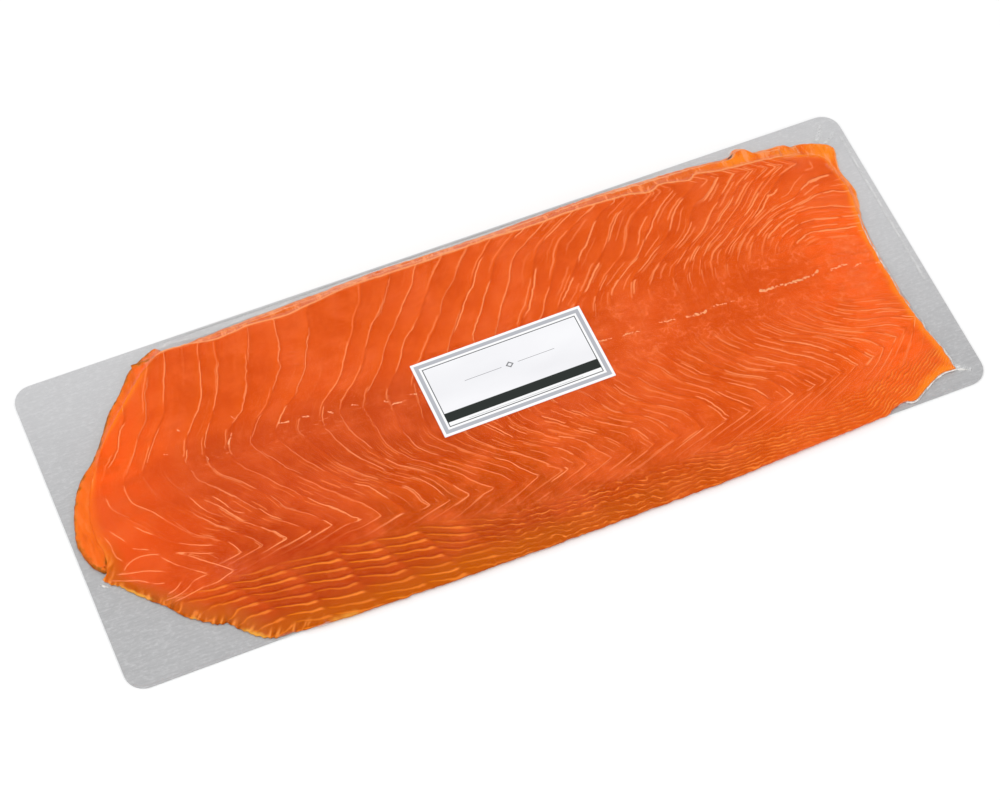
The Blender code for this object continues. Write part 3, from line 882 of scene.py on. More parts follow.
def flesh_finish():
    """The flesh: strokes, ripples, slow colour and margins over a bright orange."""
    flesh = Finish("smoked salmon flesh", IOR=1.38, Specular_IOR_Level=0.08)
    place = flesh.coordinates()
    x, y, _ = flesh.axes(place)
    along, away = card_shares(flesh, place)
    number, run = flesh.attribute("line_number"), flesh.attribute("line_run")
    gap, rows = flesh.attribute("line_spacing"), flesh.attribute("ripple_rows")
    ripple_gap, tiles = flesh.attribute("ripple_spacing"), flesh.attribute("ripple_tiles")
    belly, inset = flesh.attribute("in_ripples"), flesh.attribute("inset")

    fine = flesh.noise(place, 420.0, 2.0)
    middling = flesh.noise(place, 75.0, 3.0, 0.6)
    slow = flesh.noise(place, 16.0, 2.0)
    fibres = flesh.noise(flesh.coordinates((60, 420, 60), turn=-0.35), 1.0, 3.0, 0.6)

    # broken strokes: long ones at the left, shorter and closer ones right of the sticker
    shown = flesh.attribute("line_shown")
    rightish = along.above(1.1, 1.6)
    shaken = number + (fine - 0.5) * 0.11 + (middling - 0.5) * 0.16
    pace = run * (0.36 + rightish * 0.24)
    looseness = 0.22 + rightish * 0.16
    stout = 1 + along.above(1.2, 1.7) * run.below(5.5, 7.0) * 0.45
    first = strokes(flesh, shaken, pace, gap, 0.0, looseness, stout)
    second = strokes(flesh, shaken, pace, gap, 1.0, looseness, stout)
    between = strokes(flesh, shaken + 0.5, pace * 1.1, gap, 2.0, looseness, stout)
    upper = along.above(1.3, 1.9) * 0.68 * run.below(5.0, 6.4)
    lower = run.above(8.6, 9.6) * run.below(12.4, 13.2) * along.above(0.5, 1.0) * 0.7
    between = between * (0.10 + upper + lower)
    stroke = first.larger(second).larger(between) * shown

    # free strokes, from the signed distance to the nearest one
    free = abs(flesh.attribute("free_side") + (fine - 0.5) * 0.9)
    free = free.below(0.1, 0.5) * flesh.attribute("free_shown")
    free = free * (0.35 + middling.above(0.38, 0.55) * 0.65)
    stroke = stroke.larger(free * 0.9)

    # finer lines crowd along the seam
    crowd = run.above(8.0, 9.3) * run.below(11.0, 12.0) * shown
    seam = strokes(flesh, shaken * 2.0 + 0.5, run * 0.6, gap * 0.5, 3.0, 0.5) * crowd
    seam = seam * (0.85 - rightish * 0.35)

    # ripples: each falls to the right inside its tile, curls up at the end, and stops
    tile = tiles.floor()
    within = tiles - tile
    shift = tile * TILE_SHIFT
    shift = shift - shift.floor()
    wave = rows + within * TILE_FALL - within.above(0.6, 1.0) * TILE_CURL + shift * 0.5
    confused = along.above(0.86, 1.2)
    tangle = flesh.noise(place, 130.0, 2.0, 0.6)
    wave = wave + (middling - 0.5) * (0.34 + confused * 1.6) + (fine - 0.5) * 0.16
    wave = wave + (tangle - 0.5) * confused * 1.5
    turn = wave.floor()
    through = wave - turn
    luck = flesh.dice(flesh.point(turn, tile, 5.0))
    from_crest = abs(through - 0.5) * ripple_gap
    tile_ends = within.above(0.0, 0.10) * within.below(0.86, 0.99)
    tile_ends = tile_ends.larger(along.above(0.9, 1.15) * 0.9)
    crest_half = 0.35 + within * (0.6 - confused * 0.5)
    crest = from_crest.below(crest_half * 0.5, crest_half * 1.5) * tile_ends
    gaps = flesh.noise(place, 170.0, 1.0).above(0.40, 0.60)
    crest = crest * (0.5 + luck * 0.5) * belly * (1 - confused * (1 - gaps) * 0.8)
    # painted shade on the slope behind each ripple's crest; the same mask also sinks the bump there
    hollow_with_painted_shade = through.above(0.55, 0.72) * through.below(0.72, 1.0) * belly
    pink = within.above(0.35, 0.95) * belly * (1 - confused * 0.6)

    # slow colour: darker to the belly on the left, brighter at both ends, dull at the septum
    belly_ward = away.below(0.02, 0.60)
    leftish = along.below(0.9, 2.1)
    dim = belly_ward * (0.2 + leftish * 0.8)
    far_left = along.below(0.10, 0.48)
    right_end = along.above(2.05, 2.38) * (1 - away.above(0.6, 0.8) * 0.6)
    ends = right_end + far_left * away.above(0.22, 0.60)
    flesh.tone = flesh.mix(dim, srgb(217, 78, 4), srgb(172, 63, 0))
    dull = away.above(0.30, 0.42) * away.below(0.56, 0.66) * leftish * (1 - far_left * 0.4)
    flesh.tint(dull * 0.75, 196, 72, 16)
    shade = along.below(0.55, 0.95) * away.above(0.02, 0.10) * away.below(0.40, 0.52)
    flesh.tint(shade * 0.5, 186, 54, 0)
    end_tone = flesh.mix(along.above(0.8, 1.6), srgb(255, 90, 10), srgb(255, 98, 24))
    flesh.tone = flesh.mix(ends.smaller(1.0) * 0.9, flesh.tone, end_tone)

    # patches, scribbles between the lines, fibres, and painted light and painted shade on the two sides
    # of each flake step
    patches = flesh.noise(place, 36.0, 3.0, 0.55)
    scribble = abs(flesh.noise(place, 140.0, 2.0, 0.6) - 0.5)
    scribble = scribble.below(0.0, 0.03) * shown.below(0.1, 0.6) * (1 - belly)
    scribble = scribble * (0.12 + along.above(0.9, 1.3) * 0.88)
    flesh.tint(slow.above(0.42, 0.70) * 0.30, 240, 92, 34)
    flesh.tint(patches.above(0.46, 0.66) * 0.40, 232, 98, 44)
    flesh.tint(patches.below(0.34, 0.50) * 0.34, 204, 66, 0)
    flesh.tint(middling.above(0.42, 0.72) * 0.28, 244, 108, 46)
    flesh.tint(scribble * middling.above(0.40, 0.6) * 0.6, 250, 132, 78)
    flesh.tint(fibres.above(0.45, 0.75) * 0.30, 200, 62, 0)
    flake = shaken - shaken.floor()
    # painted light on the rising side of each flake step, and painted shade just past each line
    flesh.tint(flake.above(0.35, 1.0) * 0.22 * shown, 248, 108, 26)
    flesh.tint(flake.below(0.0, 0.26) * 0.42 * shown, 196, 60, 0)
    flesh.tint(pink * 0.45, 212, 84, 10)
    flesh.tint((1 - pink) * belly * (1 - confused * 0.8) * 0.45, 188, 78, 0)
    # painted shade in the ripples' hollows
    flesh.tint(hollow_with_painted_shade * (0.65 - confused * 0.2), 164, 48, 0)

    # small pale and dark marks that lie along the septum, left of the sticker
    marks = flesh.noise(flesh.coordinates((170, 640, 60), turn=-0.05), 1.0, 2.0, 0.6)
    at_septum = run.above(6.2, 6.8) * run.below(7.3, 8.2) * along.below(1.05, 1.6)
    at_septum = at_septum * along.above(0.26, 0.42)
    flesh.tint(marks.below(0.30, 0.42) * at_septum * 0.6, 190, 58, 0)
    flesh.tint(marks.above(0.60, 0.70) * at_septum * 0.55, 248, 140, 84)
    flesh.tint(fine.above(0.45, 0.70) * 0.14, 255, 128, 60)

    # zones that are deeper or brighter than the slow colour makes them
    deep = along.below(0.62, 0.85) * away.below(0.60, 0.68) * along.above(0.22, 0.45)
    seam_side = along.above(0.62, 0.85) * along.below(1.4, 1.7) * away.above(0.27, 0.33)
    deep = deep + seam_side * away.below(0.58, 0.66)
    far_seam = along.below(0.30, 0.45) * away.above(0.44, 0.50) * away.below(0.58, 0.64)
    flesh.tint((deep + far_seam).smaller(1.0) * 0.18, 160, 20, 0)
    low_edge = away.below(0.05, 0.11) * along.below(1.2, 1.6)
    flesh.tint(low_edge * 0.2, 160, 30, 0)
    far_low = far_left * away.below(0.36, 0.50)
    flesh.tint(far_low * 0.30, 244, 76, 0)
    right_low = along.above(1.7, 2.0) * away.below(0.06, 0.16)
    flesh.tint(right_low * 0.25, 255, 100, 20)

    # smoke-cured margins: ochre at the belly and the two ends; and a painted highlight, a pale line
    # along the back rim
    shaky = inset + (middling - 0.5) * 6.0
    near_belly = away.below(0.30, 0.50)
    ochre = shaky.below(5.0, 19.0) * near_belly
    ochre = ochre * (1 - along.above(0.9, 1.9) * 0.85)
    flesh.tint(ochre * 0.8, 190, 88, 0)
    margin = flesh.point((x * 0.74 - y * 0.67) * 420.0, (x * 0.67 + y * 0.74) * 80.0, 0.0)
    margin = flesh.noise(margin, 1.0, 2.0, 0.6)
    at_left = shaky.below(1.0, 9.0) * near_belly * along.below(0.40, 0.62)
    flesh.tint(at_left * margin.below(0.36, 0.48) * 0.8, 150, 66, 0)
    flesh.tint(at_left * margin.above(0.52, 0.64) * 0.75, 246, 150, 62)
    spotty = inset + (middling - 0.5) * 9.0
    yellow = spotty.below(0.0, 3.5) * near_belly * along.below(0.45, 0.85)
    flesh.tint(yellow * patches.above(0.48, 0.56) * 0.8, 244, 176, 72)
    left_rim = shaky.below(0.5, 12.0) * along.below(0.30, 0.42) * away.above(0.28, 0.40)
    left_rim = left_rim * (0.35 + away.above(0.56, 0.66) * 0.65)
    flesh.tint(left_rim * 0.8, 255, 132, 22)
    right_rim = shaky.below(0.5, 7.0) * along.above(2.26, 2.38)
    flesh.tint(right_rim * 0.85, 255, 136, 24)
    # painted highlight: a pale line where light catches the rounded back rim
    back_rim_painted_highlight = inset.below(0.9, 2.8) * away.above(0.80, 0.86) * along.above(0.36, 0.44)
    back_rim_painted_highlight = back_rim_painted_highlight * along.below(2.30, 2.42)
    flesh.tint(stroke * 0.95, 255, 156, 96)
    flesh.tint(seam * 0.8, 250, 138, 70)
    # the crest's pale line: a fat line, with a painted highlight on the crest
    crest_fat_and_highlight_tone = flesh.mix(within.larger(confused), srgb(230, 120, 10), srgb(248, 138, 54))
    flesh.tone = flesh.mix(crest * 0.9, flesh.tone, crest_fat_and_highlight_tone)
    flesh.tint(back_rim_painted_highlight * 0.8, 255, 168, 104)

    relief = first * shown * 0.7 + fine * 0.15 + middling * 0.4 + crest * 0.8 - hollow_with_painted_shade * 0.4
    return flesh.finish(
        Base_Color=flesh.tone,
        Roughness=0.42 + fine * 0.12,
        Normal=flesh.bump(relief, 0.0004, 0.7),
    )


flesh = flesh_finish()
top_slice.data.materials.append(flesh)
print("flesh finish nodes:", len(flesh.node_tree.nodes))

# %% [markdown]
# ## The slices underneath
#
# Three more slices lie under the broad one. They only show as margins: an ochre crescent at
# the left, a slanted rim, stacked edges along the back and a bright band at the right. Each
# replaces its solid with the same form, but with a smooth, frayed and rounded outline.


# %% Lower slices
LOWER_COLUMNS = 300
OUTLINE_STEP = 1.5 * MM
FAR_INSIDE = 20.0
RIM_PROFILE = ((0, 0.35), (0.3, 0.58), (0.8, 0.77), (1.5, 0.90), (2.3, 0.97), (3.1, 1.0))


def lowest_form():
    """The flat slice: rings inside its outline, and a fill above and below."""
    given = np.array(LOWEST_LEFT + LOWEST_BACK + LOWEST_RIGHT + LOWEST_HIDDEN)
    looped = np.vstack([given[-2:], given, given[:2]])
    curve = smooth_curve(looped)[2 * CURVE_STEPS : -2 * CURVE_STEPS]
    length = np.linalg.norm(np.diff(curve, axis=0), axis=1).sum()
    count = int(length / OUTLINE_STEP)
    outline = along_curve(curve, np.arange(count) / count)
    tangent = np.roll(outline, -1, 0) - np.roll(outline, 1, 0)
    tangent /= np.linalg.norm(tangent, axis=1)[:, None]
    x, y = outline.T
    area = np.sum(x * np.roll(y, -1) - y * np.roll(x, -1))
    inward = np.column_stack([-tangent[:, 1], tangent[:, 0]]) * np.sign(area)
    rough = 0.35 + 0.3 * wander(x, y, 4 * MM, 41) + 0.25 * wander(x, y, 1.8 * MM, 42)
    rings = [(0.0, 0.0)] + list(RIM_PROFILE)
    corners, insets = [], []
    for offset, share in rings:
        ring = outline + inward * (offset + rough[:, None]) * MM - ORIGIN
        corners += [(a, b, ON_CARD + share * SLICE) for a, b in ring]
        insets += [offset] * count
    around = np.arange(count)
    faces = []
    for k in range(len(rings) - 1):
        a, b = around + k * count, np.roll(around, -1) + k * count
        faces += np.stack([a, b, b + count, a + count], 1).tolist()
    top = around + (len(rings) - 1) * count
    flat = [Vector((*corners[i][:2], 0)) for i in top]
    fill = tessellate_polygon([flat])
    faces += [[int(top[i]) for i in face] for face in fill]
    base = [Vector((*corners[i][:2], 0)) for i in around]
    faces += [[int(around[i]) for i in reversed(face)] for face in tessellate_polygon([base])]
    made = mesh_object("lowest_slice_flesh", corners, faces)
    form = bmesh.new()
    form.from_mesh(made.data)
    bmesh.ops.recalc_face_normals(form, faces=form.faces)
    form.to_mesh(made.data)
    form.free()
    hang(made.data, "inset", np.array(insets))
    return made


def middle_form(name, level):
    """A slice between the lowest and the top one, with a rounded and wavy back rim."""
    columns = np.linspace(0, LENGTH, LOWER_COLUMNS)
    rows = np.concatenate([np.linspace(0, WIDTH - 5 * MM, 24), [WIDTH]])
    floor_height = ON_CARD + level * STEP
    room = bed_height(columns, rows) - GAP - floor_height
    kept_columns = np.flatnonzero(room[:, 20] > THINNEST)
    kept_rows = np.flatnonzero((room[len(columns) // 2] > THINNEST) & (rows < WIDTH - 4 * MM))
    points = patch(columns / LENGTH, rows / WIDTH)
    back = smooth_curve(LOWEST_LEFT[-1:] + LOWEST_BACK + LOWEST_RIGHT[:6])
    rim = points[kept_columns, -1]
    wave = BACK_WAVE * np.sin(rim[:, 0] / (29 * MM) + 2 * level) * np.sin(rim[:, 0] / (67 * MM))
    shown = np.interp(rim[:, 0], back[:, 0], back[:, 1]) - level * BACK_SETBACK + wave
    shown = np.maximum(shown, rim[:, 1] + MM)
    rough = 0.3 + 0.35 * wander(rim[:, 0], shown, 6 * MM, 50 + level)
    rough = rough + 0.25 * wander(rim[:, 0], shown, 2 * MM, 60)
    edge = np.column_stack([rim[:, 0], shown - rough * MM])
    profile = sorted(RIM_PROFILE, reverse=True)
    inner = points[np.ix_(kept_columns, kept_rows)]
    shoulders = np.stack([edge - (0, offset * MM) for offset, _ in profile], 1)
    inner_room = np.minimum(room[np.ix_(kept_columns, kept_rows)], SLICE)
    shares = np.array([share for _, share in profile])
    thickness = np.concatenate([inner_room, inner_room[:, -1:] * shares[None]], axis=1)
    underside = np.full(thickness.shape, floor_height)
    whole = np.concatenate([inner, shoulders], 1)
    made = closed_sheet(name, whole, underside, underside + thickness, 6)
    insets = np.full(thickness.shape, FAR_INSIDE)
    insets[:, -len(profile) :] = [offset for offset, _ in profile]
    hang(made.data, "inset", insets)
    return made


lowest = lowest_form()
third = middle_form("third_slice_flesh", 1)
second = middle_form("second_slice_flesh", 2)
for piece, node in ((lowest, "lowest_slice"), (third, "third_slice"), (second, "second_slice")):
    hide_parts(node)
    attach(piece, "root")
    print(piece.name, "faces:", len(piece.data.polygons))


# %% [markdown]
# The margins are drier than the middle, so the smoke has turned them ochre. They are streaked
# along the side, where the flakes end.


# %% Cured rim finish
def cured_finish():
    """The lower slices: orange rims along the back, ochre bands at both ends."""
    depth = {"Subsurface_Weight": 0.2, "Subsurface_Scale": 0.004}
    cured = Finish("smoked rim", IOR=1.38, Specular_IOR_Level=0.15, **depth)
    place = cured.coordinates()
    along, _ = card_shares(cured, place)
    streaks = cured.noise(cured.coordinates((1, 3.2, 1)), 90.0, 3.0, 0.6)
    patches = cured.noise(place, 55.0, 2.0)
    fine = cured.noise(place, 500.0, 2.0)
    leftish = along.below(0.4, 0.6)
    rightish = along.above(2.02, 2.2)
    inset = cured.attribute("inset") + (patches - 0.5) * 2.0
    dull = cured.mix(streaks, srgb(218, 92, 20), srgb(246, 122, 50))
    ochre = cured.mix(patches.above(0.35, 0.65), srgb(244, 108, 6), srgb(255, 136, 24))
    ochre = cured.mix(leftish * 0.75, ochre, srgb(238, 100, 10))
    inner = inset.above(1.5, 6.0) * leftish
    ochre = cured.mix(inner * 0.85, ochre, srgb(255, 104, 24))
    ochre = cured.mix(inset.below(0.5, 4.0) * leftish * 0.6, ochre, srgb(226, 118, 30))
    flecks = cured.noise(place, 210.0, 2.0, 0.7)
    darker = (1 - cured.step(inset + (flecks - 0.5) * 8.0, 0.0, 1.8)) * leftish
    ochre = cured.mix(darker * 0.8, ochre, srgb(140, 84, 6))
    cured.tone = cured.mix(leftish.larger(rightish), dull, ochre)
    # painted highlight: a pale line where light catches the rounded rims
    rim_painted_highlight = inset.below(0.3, 1.7) * (1 - leftish)
    cured.tint(rim_painted_highlight * 0.8, 255, 172, 108)
    slanted = cured.noise(cured.coordinates((300, 90, 60), turn=0.7), 1.0, 3.0, 0.6)
    cured.tint(slanted.above(0.52, 0.62) * (0.75 - leftish * 0.6), 255, 156, 92)
    cured.tint(slanted.below(0.34, 0.46) * 0.35, 214, 78, 6)
    return cured.finish(
        Base_Color=cured.tone,
        Roughness=0.38 + fine * 0.15,
        Normal=cured.bump(streaks + fine * 0.2, 0.0005, 0.6),
    )


rim_finish = cured_finish()
for piece in (lowest, third, second):
    piece.data.materials.append(rim_finish)
print("rim finish nodes:", len(rim_finish.node_tree.nodes))

# %% [markdown]
# ## Fat along the septum
#
# Right of the sticker the septum shows as a broken row of small pale dashes, with bigger lumps
# on a few of them, and left of it as a knot where each line hooks. They repeat along a path,
# which is work for Geometry Nodes: the path is resampled, a flattened ball is set on each
# point with a random size and turn, and some points are dropped. Each result is a plain mesh.


# %% Septum fat
SEPTUM_HEIGHT = 12.4 * MM
SEPTUM_DASHES = (
    ((1.585, 0.527), (1.60, 0.526), (1.62, 0.524)),
    ((1.655, 0.521), (1.70, 0.517)),
    ((1.77, 0.521), (1.785, 0.517), (1.81, 0.515)),
    ((1.85, 0.508), (1.875, 0.504), (1.90, 0.503)),
    ((1.935, 0.512), (1.97, 0.508)),
    ((1.985, 0.509), (1.997, 0.508)),
    ((2.08, 0.505), (2.11, 0.504), (2.14, 0.503), (2.17, 0.499), (2.20, 0.50), (2.23, 0.500),
     (2.255, 0.505)),
    ((2.30, 0.497), (2.32, 0.498), (2.34, 0.499)),
    ((2.36, 0.481), (2.385, 0.483)),
    ((2.425, 0.470), (2.445, 0.459)),
)
HOOK_KNOTS = (
    ((0.335, 0.648), (0.345, 0.644)), ((0.395, 0.705), (0.402, 0.700)), ((0.44, 0.585), (0.442, 0.592)),
    ((0.508, 0.612), (0.53, 0.64)), ((0.66, 0.621), (0.685, 0.615)), ((0.727, 0.615), (0.742, 0.610)),
    ((0.795, 0.606), (0.808, 0.595)), ((0.865, 0.600), (0.88, 0.594)), ((0.955, 0.575), (0.966, 0.568)),
    ((0.97, 0.558), (0.995, 0.555)), ((1.03, 0.570), (1.045, 0.562)), ((0.548, 0.690), (0.552, 0.682)),
)


def paths_mesh(name, runs):
    """Open runs of edges on the top slice, from points in shares of the card's width."""
    corners, edges = [], []
    for run in runs:
        start = len(corners)
        for x, y in run:
            seen = np.array([x, y]) * CARD_WIDTH
            place = seen - np.array(LEAN) * SEPTUM_HEIGHT - ORIGIN
            corners.append((*place, CARD_TOP + SEPTUM_HEIGHT))
        edges += [(k, k + 1) for k in range(start, len(corners) - 1)]
    return mesh_object(name, corners, [], edges)


def fleck_tree(finish):
    """Flattened lumps along the edges of a mesh, with named sizes."""
    tree = bpy.data.node_groups.new("fat flecks", "GeometryNodeTree")
    face = tree.interface
    face.new_socket("Path", in_out="INPUT", socket_type="NodeSocketGeometry")
    for title in ("Spacing", "Size", "Spread", "Share"):
        face.new_socket(title, in_out="INPUT", socket_type="NodeSocketFloat")
    face.new_socket("Seed", in_out="INPUT", socket_type="NodeSocketInt")
    face.new_socket("Flecks", in_out="OUTPUT", socket_type="NodeSocketGeometry")

    def add(kind, settings=None, links=None):
        made = tree.nodes.new(kind)
        for key, value in (settings or {}).items():
            setattr(made, key, value)
        for key, value in (links or {}).items():
            if isinstance(value, bpy.types.NodeSocket):
                tree.links.new(value, made.inputs[key])
            else:
                made.inputs[key].default_value = value
        return made

    given = add("NodeGroupInput").outputs

    def random(low, high):
        sockets = {0: low, 1: high, "Seed": given["Seed"]}
        return add("FunctionNodeRandomValue", {"data_type": "FLOAT_VECTOR"}, sockets).outputs[0]

    curve = add("GeometryNodeMeshToCurve", links={"Mesh": given["Path"]}).outputs[0]
    sockets = {"Curve": curve, "Length": given["Spacing"]}
    dotted = add("GeometryNodeResampleCurve", {"mode": "LENGTH"}, sockets).outputs[0]
    sockets = {0: random((-1, -1, 0), (1, 1, 0)), "Scale": given["Spread"]}
    spread = add("ShaderNodeVectorMath", {"operation": "SCALE"}, sockets).outputs[0]
    sockets = {"Geometry": dotted, "Offset": spread}
    placed = add("GeometryNodeSetPosition", links=sockets).outputs[0]
    sockets = {"Radius": given["Size"], "Subdivisions": 2}
    ball = add("GeometryNodeMeshIcoSphere", links=sockets).outputs[0]
    scale = random((0.35, 0.25, 0.12), (1.6, 1.05, 0.2))
    turn = random((0, 0, -0.9), (0, 0, 0.9))
    sockets = {"Probability": given["Share"], "Seed": given["Seed"]}
    kept = add("FunctionNodeRandomValue", {"data_type": "BOOLEAN"}, sockets).outputs[3]
    sockets = {"Points": placed, "Instance": ball, "Rotation": turn, "Scale": scale, "Selection": kept}
    lumps = add("GeometryNodeInstanceOnPoints", links=sockets).outputs[0]
    real = add("GeometryNodeRealizeInstances", links={"Geometry": lumps}).outputs[0]
    shaded = add("GeometryNodeSetMaterial", links={"Geometry": real, "Material": finish})
    tree.links.new(shaded.outputs[0], add("NodeGroupOutput").inputs[0])
    return tree


def grow(name, source, tree, **values):
    """Runs a node tree on a mesh and returns its result as a plain mesh object."""
    modifier = source.modifiers.new(tree.name, "NODES")
    modifier.node_group = tree
    for item in tree.interface.items_tree:
        if item.item_type == "SOCKET" and item.in_out == "INPUT" and item.name in values:
            modifier[item.identifier] = values[item.name]
    done = source.evaluated_get(bpy.context.evaluated_depsgraph_get())
    mesh = bpy.data.meshes.new_from_object(done)
    bpy.data.objects.remove(source)
    mesh.name = name
    mesh.shade_smooth()
    return stand(name, mesh)


def fat_finish():
    """Pale cloudy fat, a little see-through."""
    depth = {"Subsurface_Weight": 0.2, "Subsurface_Scale": 0.003}
    fat = Finish("pale fat", IOR=1.4, Specular_IOR_Level=0.4, **depth)
    cloudy = fat.noise(fat.coordinates(), 300.0, 2.0)
    tone = fat.mix(cloudy, srgb(250, 130, 66), srgb(255, 190, 136))
    relief = fat.bump(cloudy, 0.0002)
    return fat.finish(Base_Color=tone, Roughness=0.35 + cloudy * 0.1, Normal=relief)


pale_fat = fat_finish()
SEPTUM_LUMPS = SEPTUM_DASHES[3:4] + SEPTUM_DASHES[6:8]
dashes = grow("septum_fat", paths_mesh("septum path", SEPTUM_DASHES), fleck_tree(pale_fat),
              Spacing=0.8 * MM, Size=0.60 * MM, Spread=0.55 * MM, Share=0.88, Seed=4)
lumps = grow("septum_lumps", paths_mesh("lump path", SEPTUM_LUMPS), fleck_tree(pale_fat),
             Spacing=2.6 * MM, Size=1.15 * MM, Spread=0.9 * MM, Share=0.8, Seed=7)
knots = grow("hook_fat", paths_mesh("hook path", HOOK_KNOTS), fleck_tree(pale_fat),
             Spacing=0.6 * MM, Size=0.5 * MM, Spread=0.35 * MM, Share=0.8, Seed=9)
for piece in (dashes, lumps, knots):
    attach(piece, "root")
    print(piece.name, "faces:", len(piece.data.polygons))

# %% [markdown]
# ## The sticker
#
# It is satin paper with a printed border: a white rim, a grey band, a white gap and a thin
# dark frame line. Inside are a bare silvery field, a dark band and a white strip. The print
# is drawn from distances to the sticker's edge, in millimetres, so it stays sharp. The solid
# keeps its shape, and only the finish is new.


# %% Sticker finish
STICKER_CENTRE = (287.6, 109.9)
STICKER_HALF = (57, 27.5)
STICKER_TURN = -math.radians(0.5)
PRINT_BLUR = 0.08
RULE_HEIGHT = 4.9


def sticker_finish():
    """The print, in millimetres from the sticker's middle or from its edge."""
    centre = np.array(STICKER_CENTRE) * MM - ORIGIN
    turn = STICKER_TURN
    turned_x = centre[0] * math.cos(turn) - centre[1] * math.sin(turn)
    turned_y = centre[0] * math.sin(turn) + centre[1] * math.cos(turn)
    paper = Finish("printed satin paper", IOR=1.45, Specular_IOR_Level=0.4)
    place = paper.coordinates((1000, 1000, 1000), (-turned_x * 1000, -turned_y * 1000, 0), turn)
    x, y, _ = paper.axes(place)
    off_x, off_y = abs(x), abs(y)
    rim = (STICKER_HALF[0] - off_x).smaller(STICKER_HALF[1] - off_y)

    def band(value, low, high):
        start = value.above(low - PRINT_BLUR, low + PRINT_BLUR)
        return start * value.below(high - PRINT_BLUR, high + PRINT_BLUR)

    sheen = paper.noise(paper.coordinates((14, 30, 14), turn=0.6), 1.0, 2.0)
    fibre = paper.noise(paper.coordinates(), 900.0, 2.0)
    grey_band = band(rim, 1.7, 4.15)
    frame_line = band(rim, 5.6, 6.15)
    inside = rim.above(5.9, 6.1)
    dark = band(y, -18.7, -12.1) * rim.above(5.5, 5.7)
    strip = y.below(-18.8, -18.6) * inside
    # painted sheen: the field's lighter and darker streaks; the same noise also waves the paper in the
    # bump
    field = paper.mix(sheen, (0.74, 0.74, 0.77), (0.96, 0.96, 0.98))
    hairline = band(y, -20.55, -20.3) * off_x.below(38, 38.2)
    rule = band(y, 4.75, 5.05) * band(off_x, 5.5, 30)
    from_diamond = off_x + abs(y - RULE_HEIGHT) * 1.2
    diamond = from_diamond.below(2.6, 2.8) * from_diamond.above(1.4, 1.6)
    tone = paper.mix(inside, (0.93, 0.93, 0.94), field)
    for share, colour in (
        (strip, (0.90, 0.90, 0.91)), (grey_band, (0.44, 0.45, 0.49)),
        (frame_line, (0.03, 0.035, 0.035)), (rule.larger(diamond) * 0.85, (0.10, 0.10, 0.11)),
        (hairline * 0.7, (0.16, 0.17, 0.17)), (dark, (0.008, 0.013, 0.011)),
    ):
        tone = paper.mix(share, tone, colour)
    return paper.finish(
        Base_Color=tone,
        Roughness=0.34 + fibre * 0.12 - inside * 0.06,
        Normal=paper.bump(fibre * 0.5 + sheen * 4.0, 0.0002, 0.3),
    )


dress(frame["nodes"]["sticker"], sticker_finish())
print("sticker print is ready")

# %% [markdown]
# ## The clear film
#
# The whole pack is vacuum sealed, so a thin film lies tight over the fish and the card. It
# rests on what is highest near each point, and from a rim it slopes down like a small tent.
# A height is read from the pieces by rays from above, spread by that slope, and meshed. The
# sticker is stuck on the film, not under it. Narrow folds of film lie round the right corner
# of the fish, at its tip and at the near-left tip, and they are painted white as a highlight.

# %% Film
FILM_COLUMNS = 300
FILM_ROWS = 100
FILM_START, FILM_LENGTH, FILM_FAR = 1.0, 561, 219
FILM_CROWDING = 0.55
CARD_LENGTH = 563 * MM
CARD_CORNER, FILM_CORNER = 12 * MM, 11 * MM
RAY_HEIGHT = 0.05
LOW_PLACES = 2 * MM
TENT_ROUNDS = 6
FILM_CLEAR = 0.10 * MM
FILM_THICK = 0.06 * MM
FILM_SLOPE = 1.1
# Ridges in the film: both ends, height and width, in millimetres.
CREASES = (
    ((538, 180), (546, 165), 0.15, 0.8), ((546, 165), (544, 140), 0.15, 0.8),
    ((543, 140), (540, 108), 0.15, 0.8),
    ((540, 108), (541, 70), 0.15, 0.8), ((541, 70), (546, 18), 0.15, 0.8),
    ((545, 16), (554, 10), 0.7, 1.7), ((544, 203), (551, 212), 0.9, 1.6),
    ((548, 199), (556, 204), 0.5, 1.2), ((559, 80), (559.5, 200), 0.25, 0.9),
    ((91, -1), (121, -3), 0.3, 0.8), ((97, 214), (104, 218), 0.4, 1.0),
)


def film_points():
    """The film's grid: the card's rounded rectangle, let out where the fish overhangs."""
    u = np.linspace(0, 1, FILM_COLUMNS)
    v = np.linspace(0, 1, FILM_ROWS)
    u = u - FILM_CROWDING * np.sin(2 * np.pi * u) / (2 * np.pi)
    x = (FILM_START + u * FILM_LENGTH) * MM
    corner = np.clip((CARD_CORNER - np.minimum(x, CARD_LENGTH - x)) / CARD_CORNER, 0, 1)
    cut = FILM_CORNER * (1 - np.sqrt(1 - corner**2))
    belly = smooth_curve(BELLY_EDGE)
    near = np.minimum(FILM_START * MM + cut, np.interp(x, belly[:, 0], belly[:, 1]))
    far = FILM_FAR * MM - cut
    y = near[:, None] * (1 - v[None]) + far[:, None] * v[None]
    return np.stack([np.broadcast_to(x[:, None], y.shape), y], -1)


def film_heights(points):
    """The highest slice, or the card, below each point."""
    graph = bpy.context.evaluated_depsgraph_get()
    height = np.full(points.shape[:2], CARD_TOP)
    starts = points - ORIGIN
    for piece in (top_slice, lowest, third, second):
        for at in np.ndindex(height.shape):
            ray = (*starts[at], RAY_HEIGHT), (0, 0, -1)
            hit, spot, _, _ = piece.ray_cast(*ray, depsgraph=graph)
            if hit:
                height[at] = max(height[at], spot.z)
    return height


